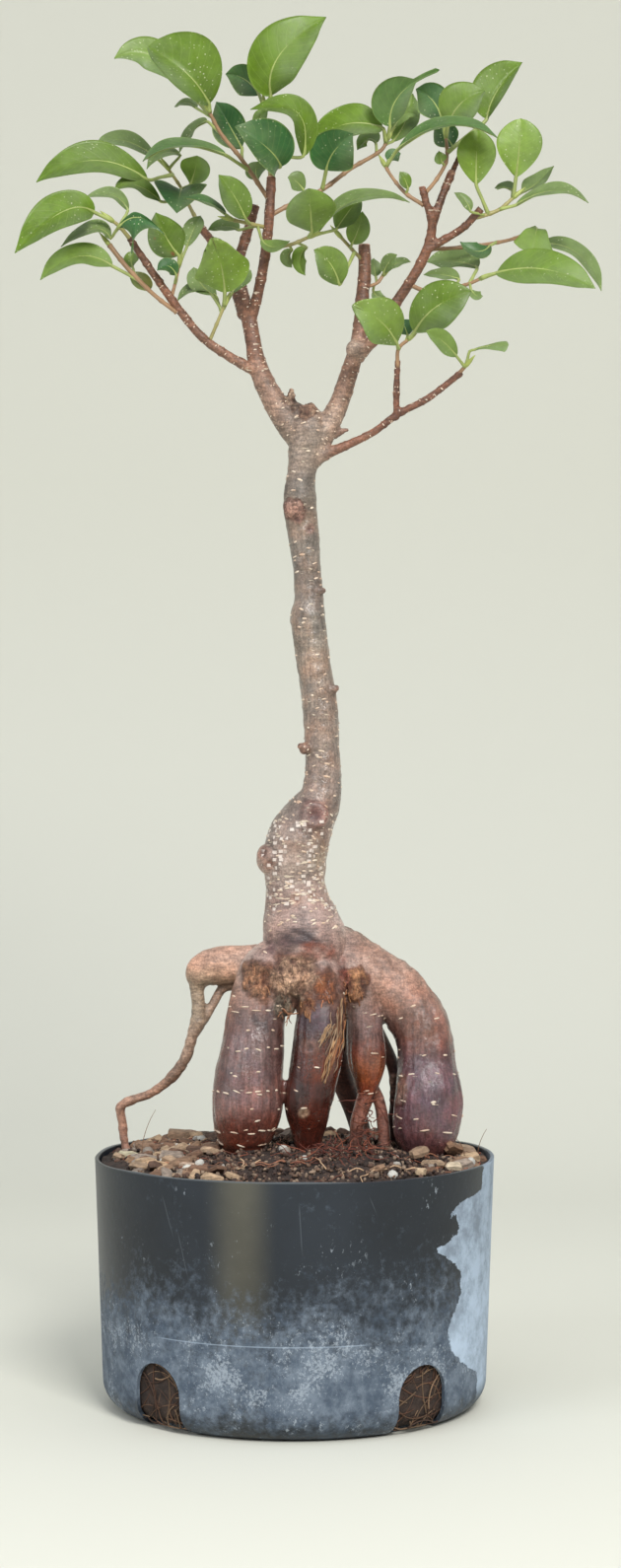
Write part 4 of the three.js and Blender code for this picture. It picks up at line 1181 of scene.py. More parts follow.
# %% Skin colours by height
CROWN = (176, 153, 141)
TRUNK_SKIN = [
    (150, CROWN), (172, CROWN), (186, (160, 136, 127)), (202, (178, 158, 144)), (218, (152, 132, 119)),
    (250, (162, 139, 121)), (288, (154, 138, 120)), (300, (146, 136, 124)), (335, (136, 120, 104)),
    (350, (148, 135, 122)), (375, (152, 136, 122)),
]
ROOT_SKINS = [
    [(96, (122, 60, 40)), (103, (128, 76, 62)), (112, (146, 104, 94)), (130, (144, 108, 98)),
     (147, (134, 98, 86)), (151, (150, 114, 98)), (164, CROWN)],
    [(97, (86, 36, 24)), (112, (82, 32, 18)), (128, (86, 30, 16)), (140, (80, 42, 34)), (149, (84, 54, 46)),
     (154, (140, 104, 88)), (166, CROWN)],
    [(95, (140, 92, 76)), (104, (162, 120, 106)), (112, (156, 108, 92)), (117, (138, 72, 48)),
     (126, (156, 96, 66)), (131, (122, 74, 62)), (146, (150, 126, 118)), (151, (160, 132, 120)),
     (160, (156, 124, 110))],
    [(96, (104, 62, 58)), (106, (116, 82, 86)), (122, (114, 84, 90)), (133, (108, 74, 68)),
     (137, (128, 88, 76)), (146, (144, 110, 96)), (160, (160, 128, 112))],
    [(92, (132, 98, 82)), (112, (142, 110, 92)), (137, (142, 118, 100)), (144, (140, 122, 102)),
     (156, (142, 122, 102)), (163, (158, 124, 104)), (170, (166, 132, 114))],
    [(100, (146, 120, 102))],
    [(100, (76, 48, 38)), (150, (98, 68, 58))],
    [(100, (132, 88, 74)), (120, (144, 102, 88))],
    [(100, (58, 38, 32))],
    [(144, (104, 62, 42)), (152, (132, 96, 74)), (166, CROWN)],
]
BRANCH_SKIN = [(362, (146, 126, 110)), (380, (126, 100, 84)), (398, (112, 78, 60)), (450, (100, 66, 48))]
TWIGLET_SKIN = [(352, (120, 92, 76)), (356, (108, 74, 58)), (400, (104, 68, 52))]
TWIGLETS = (8, 9)
STUB_SKIN = [(300, (128, 98, 84))]
SKINS = [TRUNK_SKIN, *ROOT_SKINS]
SKINS += [TWIGLET_SKIN if number in TWIGLETS else BRANCH_SKIN for number in range(len(BRANCHES))]
SKINS += [STUB_SKIN] * len(STUBS) + [TRUNK_SKIN] * len(KNOBS)
print("limbs with colours of their own:", len(SKINS))

# %% The skin of every point
MIXING_REACH = 1.5
TONGUE = 3.5
# The healed border of a torn patch
RUST = (88, 46, 30)
CUT_BRANCHES = (1, 4, 5, 6)
CUT_COLOUR = linear(176, 136, 116)


def skin_at(stops, heights):
    levels = [level for level, _ in stops]
    colours = np.array([linear(*colour) for _, colour in stops])
    return np.stack([np.interp(heights, levels, colours[:, channel]) for channel in range(3)], axis=1)


def limb_weights(outside):
    weights = np.exp(-(outside - outside.min(0)) / MIXING_REACH)
    return weights / weights.sum(0)


def skin_of(points, weights):
    heights = points[:, 2] + TONGUE * (0.6 * lumps(points, 6, 21) + 0.5 * lumps(points, 2.2, 22))
    return sum(weight[:, None] * skin_at(stops, heights) for weight, stops in zip(weights, SKINS))


def cut_ends(owner, nearest):
    """1 on the sawn or pinched ends of the branches."""
    share = np.zeros(len(owner))
    for number in CUT_BRANCHES:
        limb = FIRST_BRANCH + number
        share[(owner == limb) & (nearest[limb] >= len(PATHS[limb]) - 1)] = 1
    return share


def mixed(skin, colour, share):
    return skin * (1 - share[:, None]) + colour * share[:, None]


def marked(points, skin, torn, stained, gaps, shreds):
    """The skin with its stains and painted shade, torn patches and eyes."""
    blotches = np.clip(0.75 + 0.6 * lumps(points, 2.8, 39), 0, 1)
    for (*_, strength, colour), share in zip(STAINS_AND_PAINTED_SHADE, stained):
        skin = mixed(skin, linear(*colour), share * blotches * strength)
    lightness = np.clip(shreds * 0.75 + 0.5, 0, 1)[:, None]
    for (*_, dark, light), share in zip(TORN_PATCHES, torn):
        skin = mixed(skin, linear(*dark) * (1 - lightness) + linear(*light) * lightness, share * 0.94)
        skin = mixed(skin, linear(*RUST), 2.4 * share * (1 - share))
    for (*_, middle, lip), gap in zip(EYES, gaps):
        skin = mixed(skin, linear(*lip), np.exp(-((gap - 0.9) / 0.45) ** 2) * 0.7)
        skin = mixed(skin, linear(*middle), np.clip((0.75 - gap) / 0.3, 0, 1) * 0.9)
    return skin


def finish_of(points, weights, torn):
    """Density of pale dashes, gloss, and roughness of cork for every point."""
    heights, tuber, trunk, thin = points[:, 2], weights[1:5].sum(0), weights[0], weights[FIRST_BRANCH:].sum(0)
    dashes = trunk * np.interp(heights, [176, 188, 212, 225, 300], [0.05, 1.0, 1.0, 0.5, 0.4])
    dashes += 0.12 * tuber + 0.5 * thin
    gloss = tuber * np.interp(heights, [138, 158], [1, 0.15])
    gloss += trunk * np.interp(heights, [180, 232, 325, 340], [0.15, 0.7, 0.6, 0.3])
    return np.column_stack([dashes, gloss, np.maximum.reduce(torn)])


wood_weights = limb_weights(outside)
plain_skin = skin_of(smooth_points, wood_weights)
skin_colours = marked(smooth_points, plain_skin, torn, stained, gaps, shreds)
skin_colours = mixed(skin_colours, CUT_COLOUR, cut_ends(owner, nearest))
wood_finish = finish_of(smooth_points, wood_weights, torn)
write_values(wood_mesh, "skin", skin_colours)
write_values(wood_mesh, "finish", wood_finish)
print("skin colours from", skin_colours.min(0).round(2), "to", skin_colours.max(0).round(2))

# %% [markdown]
# ### The bark's finish
# Ficus bark is thin and smooth, with a waxy shine on the tubers. The small pale dashes are lenticels, the
# pores it breathes through. They always lie across the limb, so the pattern is squeezed upright. Fine
# mottling keeps the colour from looking like paint, and a bump carries the finest wrinkles.

# %% Patterns of the bark
def warmth(wiring, gloss):
    """Soft patches of the tubers turn red-brown and others grey-violet, the trunk's less so."""
    share = wiring.mottled(70.0, 0.36, 0.64, detail=5.0, harshness=0.65)
    patches = wiring.mix(share, (1.2, 0.96, 0.88), (0.94, 1.0, 1.1))
    return wiring.mix(wiring.step(gloss, 0.0, 1.0, 0.3, 1.0), (1, 1, 1), patches)


def cracked_plates(wiring, density):
    """Where the pores crowd, the thin bark is cracked into small blocks, and many of them are pale."""
    given = {"Vector": wiring.stretch((0.85, 0.85, 1.15)), "Scale": 540.0, "Randomness": 0.7}
    blocks = wiring.node("ShaderNodeTexVoronoi", {"distance": "CHEBYCHEV"}, **given).outputs
    drawn_by_lot = wiring.parts_of(blocks["Color"])[0]
    bar = wiring.step(density, 0.45, 1.0, 1.0, 0.6)
    picked = wiring.step(wiring.minus(drawn_by_lot, bar), 0.0, 0.05)
    return wiring.times(picked, wiring.step(blocks["Distance"], 0.32, 0.46, 1.0, 0.0))


def bark_grain(wiring, gloss):
    """Fine streaks: level on the trunk, upright on the tubers."""
    upright = wiring.streaked((1, 1, 0.09), 800.0, 4.0, 0.65)
    level = wiring.streaked((0.3, 0.3, 1), 900.0, 3.0, 0.6)
    blend = wiring.node("ShaderNodeMix", {"data_type": "FLOAT"})
    wiring.put_all([blend.inputs[number] for number in (0, 2, 3)], (gloss, level, upright))
    return blend.outputs[0]


def pale_dashes(wiring, density, cork):
    """The pores as short pale dashes across the limb, none of them on torn cork."""
    spots = wiring.streaked((0.42, 0.42, 1.6), 560.0, 2.0, 0.5, (0.3, 0.1, 0.2))
    bar = wiring.minus(0.74, wiring.times(density, 0.13))
    dashes = wiring.step(wiring.minus(spots, bar), 0.0, 0.05, 0.0, 0.8)
    return wiring.times(dashes, wiring.minus(1.0, cork))


print("the dashes crowd on", int((wood_finish[:, 0] > 0.5).sum()), "points")

# %% Bark material
DASH_COLOUR = linear(206, 190, 168)
PLATE_COLOUR = linear(220, 206, 196)


def bark_material():
    wiring = Finish("ficus_bark")
    density, gloss, cork = wiring.parts_of(wiring.value_of("finish"))
    grain = bark_grain(wiring, gloss)
    broad = wiring.mottled(90.0, 0.28, 0.72, 0.6, 1.45, 6.0, 0.7)
    streaks = wiring.step(grain, 0.33, 0.67, 0.74, 1.36)
    polish = wiring.step(gloss, 0.0, 0.3, 1.0, 0.58)
    colour = wiring.shaded(wiring.value_of("skin", "Color"), wiring.times(broad, streaks, polish))
    colour = wiring.mix(1.0, colour, warmth(wiring, gloss), "MULTIPLY")
    colour = wiring.shaded(colour, wiring.mottled(1400.0, 0.3, 0.7, 0.74, 1.28, 2.0, 0.5))
    plates = cracked_plates(wiring, density)
    colour = wiring.mix(wiring.times(plates, 0.85), colour, PLATE_COLOUR)
    frayed = wiring.step(wiring.streaked((1, 1, 0.55), 900.0, 6.0, 0.75), 0.3, 0.7, 0.4, 1.5)
    pale = pale_dashes(wiring, density, cork)
    colour = wiring.layered(colour, [(cork, wiring.shaded(colour, frayed)), (pale, DASH_COLOUR)])
    waxy = wiring.mottled(130.0, 0.3, 0.7, -0.05, 0.08)
    rough = wiring.plus(wiring.step(gloss, 0.0, 1.0, 0.38, 0.25), waxy, wiring.times(cork, 0.45))
    coarse = wiring.times(wiring.noise(480.0, 6.0, 0.75), wiring.plus(cork, 0.35))
    height = wiring.plus(wiring.times(grain, 0.4), wiring.times(pale, 0.5), wiring.times(coarse, 2.2), plates)
    polished = wiring.mottled(75.0, 0.4, 0.6, 0.3, 0.95)
    pearls = wiring.noise(1100.0, 2.0, 0.6)
    return wiring.finish(
        Base_Color=colour, Roughness=wiring.maths("MINIMUM", rough, 0.9),
        Normal=wiring.bump(height, 0.7, 0.0007), Coat_Weight=wiring.times(gloss, polished),
        Coat_Roughness=0.1, Coat_Normal=wiring.bump(pearls, 0.6, 0.0005),
    )


wood_mesh.shade_smooth()
wood_piece = show("trunk_and_roots_skin", wood_mesh, bark_material(), "bark", "trunk_and_roots")
print("wood triangles:", sum(len(face.vertices) - 2 for face in wood_mesh.polygons))

# %% [markdown]
# ### Raised lenticels
# On the tubers the largest pores stand up as cream dashes in rows, round the swelling like beads, and on
# the lower trunk they crowd so close that the bark looks scaly. They are real little pads here, set on
# the skin with their long side across the limb. A row is laid out by angle, and now and then one is
# missing, as on the tree.

# %% Where the lenticels sit
# Rows of pads: the limb in PATHS, the height, how many fit round it, length
PAD_ROWS = [
    [1, 148.7, 16, 4.2], [1, 133.9, 18, 3.7], [1, 118.3, 20, 3.3], [1, 103.8, 19, 4.2], [1, 99, 14, 4.4],
    [1, 141, 7, 2.4], [1, 126, 6, 2.2], [2, 128, 8, 2.2], [2, 112, 7, 2.4], [3, 145.8, 12, 3.2],
    [3, 130.6, 10, 4.6], [3, 116.4, 7, 3.2], [4, 123, 9, 3.6], [4, 107.5, 10, 4.4], [4, 102.7, 8, 4.6],
    [4, 132, 7, 3.4], [4, 144, 8, 3.2], [4, 114, 5, 3.0],
]
MISSING = 0.22
SCATTERED_PADS = 640
BRANCH_PADS = 240
BRANCH_PADS_TO = 425


def spots_in_row(limb, level, count, draws):
    """Points of the skin at even angles round one limb, a few left out."""
    near = np.flatnonzero((owner == limb) & (np.abs(wood_points[:, 2] - level) < 3))
    centre = PATHS[limb][nearest[limb, near], :3]
    away = wood_points[near] - centre
    angles = np.arctan2(away[:, 1], away[:, 0])
    for number in range(count):
        if draws.uniform() < MISSING:
            continue
        wanted = (number + draws.uniform(-0.25, 0.25)) / count * 2 * math.pi
        turned_by = np.abs(np.angle(np.exp(1j * (angles - wanted))))
        height_off = np.abs(wood_points[near, 2] - level - draws.uniform(-1.1, 1.1))
        yield near[np.argmin(turned_by * 8 + height_off)]


def pad_spots(draws):
    for limb, level, count, length in PAD_ROWS:
        for spot in spots_in_row(limb, level, count, draws):
            yield spot, length * draws.uniform(0.4, 1.2), draws.uniform(0.5, 0.85), draws.uniform(0.2, 0.36)
    crowded = np.clip(wood_finish[:, 0], 0, 0.6)
    weights = crowded ** 2 * (wood_points[:, 2] > 97) * (1 - wood_finish[:, 2])
    chosen = draws.choice(len(weights), SCATTERED_PADS, replace=False, p=weights / weights.sum())
    for spot in chosen:
        if owner[spot] >= FIRST_BRANCH:
            yield spot, draws.uniform(0.5, 1.0), draws.uniform(0.4, 0.6), 0.16
        else:
            yield spot, draws.uniform(1.2, 2.8), draws.uniform(0.6, 0.95), draws.uniform(0.14, 0.3)
    on_branch = (owner >= FIRST_BRANCH) & (owner < FIRST_BRANCH + len(BRANCHES))
    free = np.flatnonzero(on_branch & (wood_points[:, 2] < BRANCH_PADS_TO))
    for spot in draws.choice(free, BRANCH_PADS, replace=False):
        yield spot, draws.uniform(0.8, 1.5), draws.uniform(0.4, 0.6), 0.2


print("rows of pads:", len(PAD_ROWS), "and", SCATTERED_PADS + BRANCH_PADS, "scattered pads")

# %% Lenticel pads
PAD_SIDES = 8
PAD_SEED = 5


def pad(place, normal, across, length, breadth, height):
    """A flattened cap: a ring under the skin and two smaller ones above it."""
    upward = np.cross(normal, across)
    points = []
    for share, rise in ((1.0, -0.15), (0.78, height * 0.7), (0.36, height)):
        for side in range(PAD_SIDES):
            angle = side / PAD_SIDES * 2 * math.pi
            sideways = across * math.cos(angle) * length / 2 + upward * math.sin(angle) * breadth / 2
            points.append(place + sideways * share + normal * rise)
    points.append(place + normal * height)
    top, ring = 3 * PAD_SIDES, 2 * PAD_SIDES
    cap = [(top, ring + side, ring + (side + 1) % PAD_SIDES) for side in range(PAD_SIDES)]
    return points, grid_faces(3, PAD_SIDES) + cap


def limb_direction(spot):
    path = PATHS[owner[spot]][:, :3]
    if len(path) == 1:
        return np.array([0.0, 0.0, 1.0])
    place = min(nearest[owner[spot], spot], len(path) - 2)
    return path[place + 1] - path[place]


def lenticel_pads():
    draws = np.random.default_rng(PAD_SEED)
    pile = Pile()
    for spot, length, breadth, height in pad_spots(draws):
        normal = unit(wood_normals[spot])
        across = unit(np.cross(normal, limb_direction(spot))) + np.array([0, 0, draws.uniform(-0.3, 0.3)])
        across = unit(across - normal * (across @ normal))
        pile.add(*pad(wood_points[spot], normal, across, length, breadth, height))
    return pile.mesh("lenticels")


def pad_material():
    wiring = Finish("cream_lenticels")
    share = wiring.mottled(300.0, 0.3, 0.7)
    colour = wiring.mix(share, linear(192, 160, 136), linear(226, 212, 192))
    return wiring.finish(Base_Color=colour, Roughness=0.5)


lenticels = show("lenticels", lenticel_pads(), pad_material(), "bark")
print("lenticel pads:", len(lenticels.data.polygons) // (3 * PAD_SIDES))

# %% [markdown]
# ### Torn fibres and root tips
# A strip of bark was pulled off the right side of the middle leg and left its fibres hanging, and from
# the healed scar a few curly rootlets start. Both are thin tubes that begin inside the skin.

# %% Torn fibres
FIBRE_COLOURS = [(176, 136, 96), (150, 124, 98), (112, 72, 48), (158, 104, 66), (132, 108, 88)]
# Bundles of the pulled strip as seen from the front: x and z of the top and of the foot, spread, count
STRIP_BUNDLES = [
    [(17.4, 152), (16.8, 133), 1.3, 22], [(16.9, 137), (12, 120.5), 1.1, 18],
    [(15, 142), (10.8, 133.5), 0.8, 12], [(17.6, 142), (12.6, 127), 0.9, 12],
]
WOOD_TREE = BVHTree.FromObject(wood_piece, bpy.context.evaluated_depsgraph_get())


def skin_seen_at(x, z):
    """Place and normal of the skin that shows at x and z from the viewpoint, or None."""
    ahead = np.array([x, 0.0, z]) - VIEWPOINT
    place, normal, _, _ = WOOD_TREE.ray_cast(Vector(VIEWPOINT * MM), Vector(ahead).normalized())
    return None if place is None else (np.array(place) / MM, np.array(normal))


def add_shred(pile, draws, x, z, lift, colour):
    """A thin fibre that starts and ends in the skin at the given places and stands off it between."""
    arch = np.sin(np.linspace(0.2, 2.9, len(x))) * draws.uniform(0.05, lift)
    rows = []
    for seen_x, seen_z, rise in zip(x, z, arch):
        found = skin_seen_at(seen_x, seen_z)
        if found is not None:
            rows.append([*(found[0] + found[1] * rise), draws.uniform(0.14, 0.3)])
    if len(rows) > 3:
        pile.add(*tube(smooth_path(rows, 1.2), 6), tint=linear(*colour) * draws.uniform(0.7, 1.1))


def strip_fibres(pile, draws):
    for (top_x, top_z), (foot_x, foot_z), spread, count in STRIP_BUNDLES:
        for _ in range(count):
            start = draws.uniform(0, 0.5)
            shares = np.linspace(start, min(1.08, start + draws.uniform(0.35, 0.8)), 6)
            x = top_x + (foot_x - top_x) * shares + draws.normal(0, spread) + draws.uniform(-0.3, 0.3, 6)
            z = top_z + (foot_z - top_z) * shares
            add_shred(pile, draws, x, z, 0.45, FIBRE_COLOURS[draws.integers(5)])


def wound_shreds(pile, draws, per_patch=14):
    """Short low shreds on the scar in the crown and the eye beside it, in the scar's own colours."""
    for x, z, half_width, half_height, _, _, _, dark, light in TORN_PATCHES[:6]:
        for _ in range(int(per_patch * half_width * half_height / 50) + 6):
            off_x, off_z = draws.uniform(-0.9, 0.9, 2)
            if off_x ** 2 + off_z ** 2 > 0.8:
                continue
            fall = np.linspace(0, -draws.uniform(1.2, 4.0), 5)
            drift = draws.uniform(-0.5, 0.5) * fall + draws.uniform(-0.2, 0.2, 5)
            share = draws.uniform(0.15, 0.95)
            colour = [first + (second - first) * share for first, second in zip(dark, light)]
            start_x, start_z = x + off_x * half_width, z + off_z * half_height
            add_shred(pile, draws, start_x + drift, start_z + fall, 0.3, colour)


print("fibres of the pulled strip:", sum(count for *_, count in STRIP_BUNDLES))

# %% Curly rootlets and the finish of all fibres
FIBRE_SEED = 3
TIP_KNOT = (-3.6, 146.6, -14)


def curled(place, heading, stride, radii, draws, flatness=1.0):
    """Places of a curly rootlet: at every stride its heading bends at random."""
    rows = []
    for radius in radii:
        rows.append([*place, radius])
        heading = heading / np.linalg.norm(heading) + draws.uniform(-0.6, 0.6, 3) * [1, 1, flatness]
        place = place + heading * stride
    return np.array(rows)


def curly_rootlets(pile, draws, count=12):
    for _ in range(count):
        place = np.array(seen(*TIP_KNOT)) + draws.uniform(-2.2, 2.2, 3) * [1, 0.5, 0.5]
        heading = np.array([draws.uniform(-1, 1), draws.uniform(-1, 0.1), draws.uniform(-1, 0.2)])
        rows = curled(place, heading, 0.75, 0.3 - np.arange(8) * 0.025, draws)
        pile.add(*tube(smooth_path(rows, 0.8), 6), tint=linear(150, 104, 76))


def fibre_material():
    wiring = Finish("dry_fibres")
    share = wiring.mottled(600.0, 0.3, 0.7, 0.75, 1.2, place=wiring.stretch((1, 1, 0.2)))
    return wiring.finish(Base_Color=wiring.shaded(wiring.value_of("tint", "Color"), share), Roughness=0.75)


def add_fibres():
    draws = np.random.default_rng(FIBRE_SEED)
    pile = Pile()
    strip_fibres(pile, draws)
    wound_shreds(pile, draws)
    curly_rootlets(pile, draws)
    return show("torn_fibres", pile.mesh("torn_fibres"), fibre_material(), "bark")


print("fibre faces:", len(add_fibres().data.polygons))
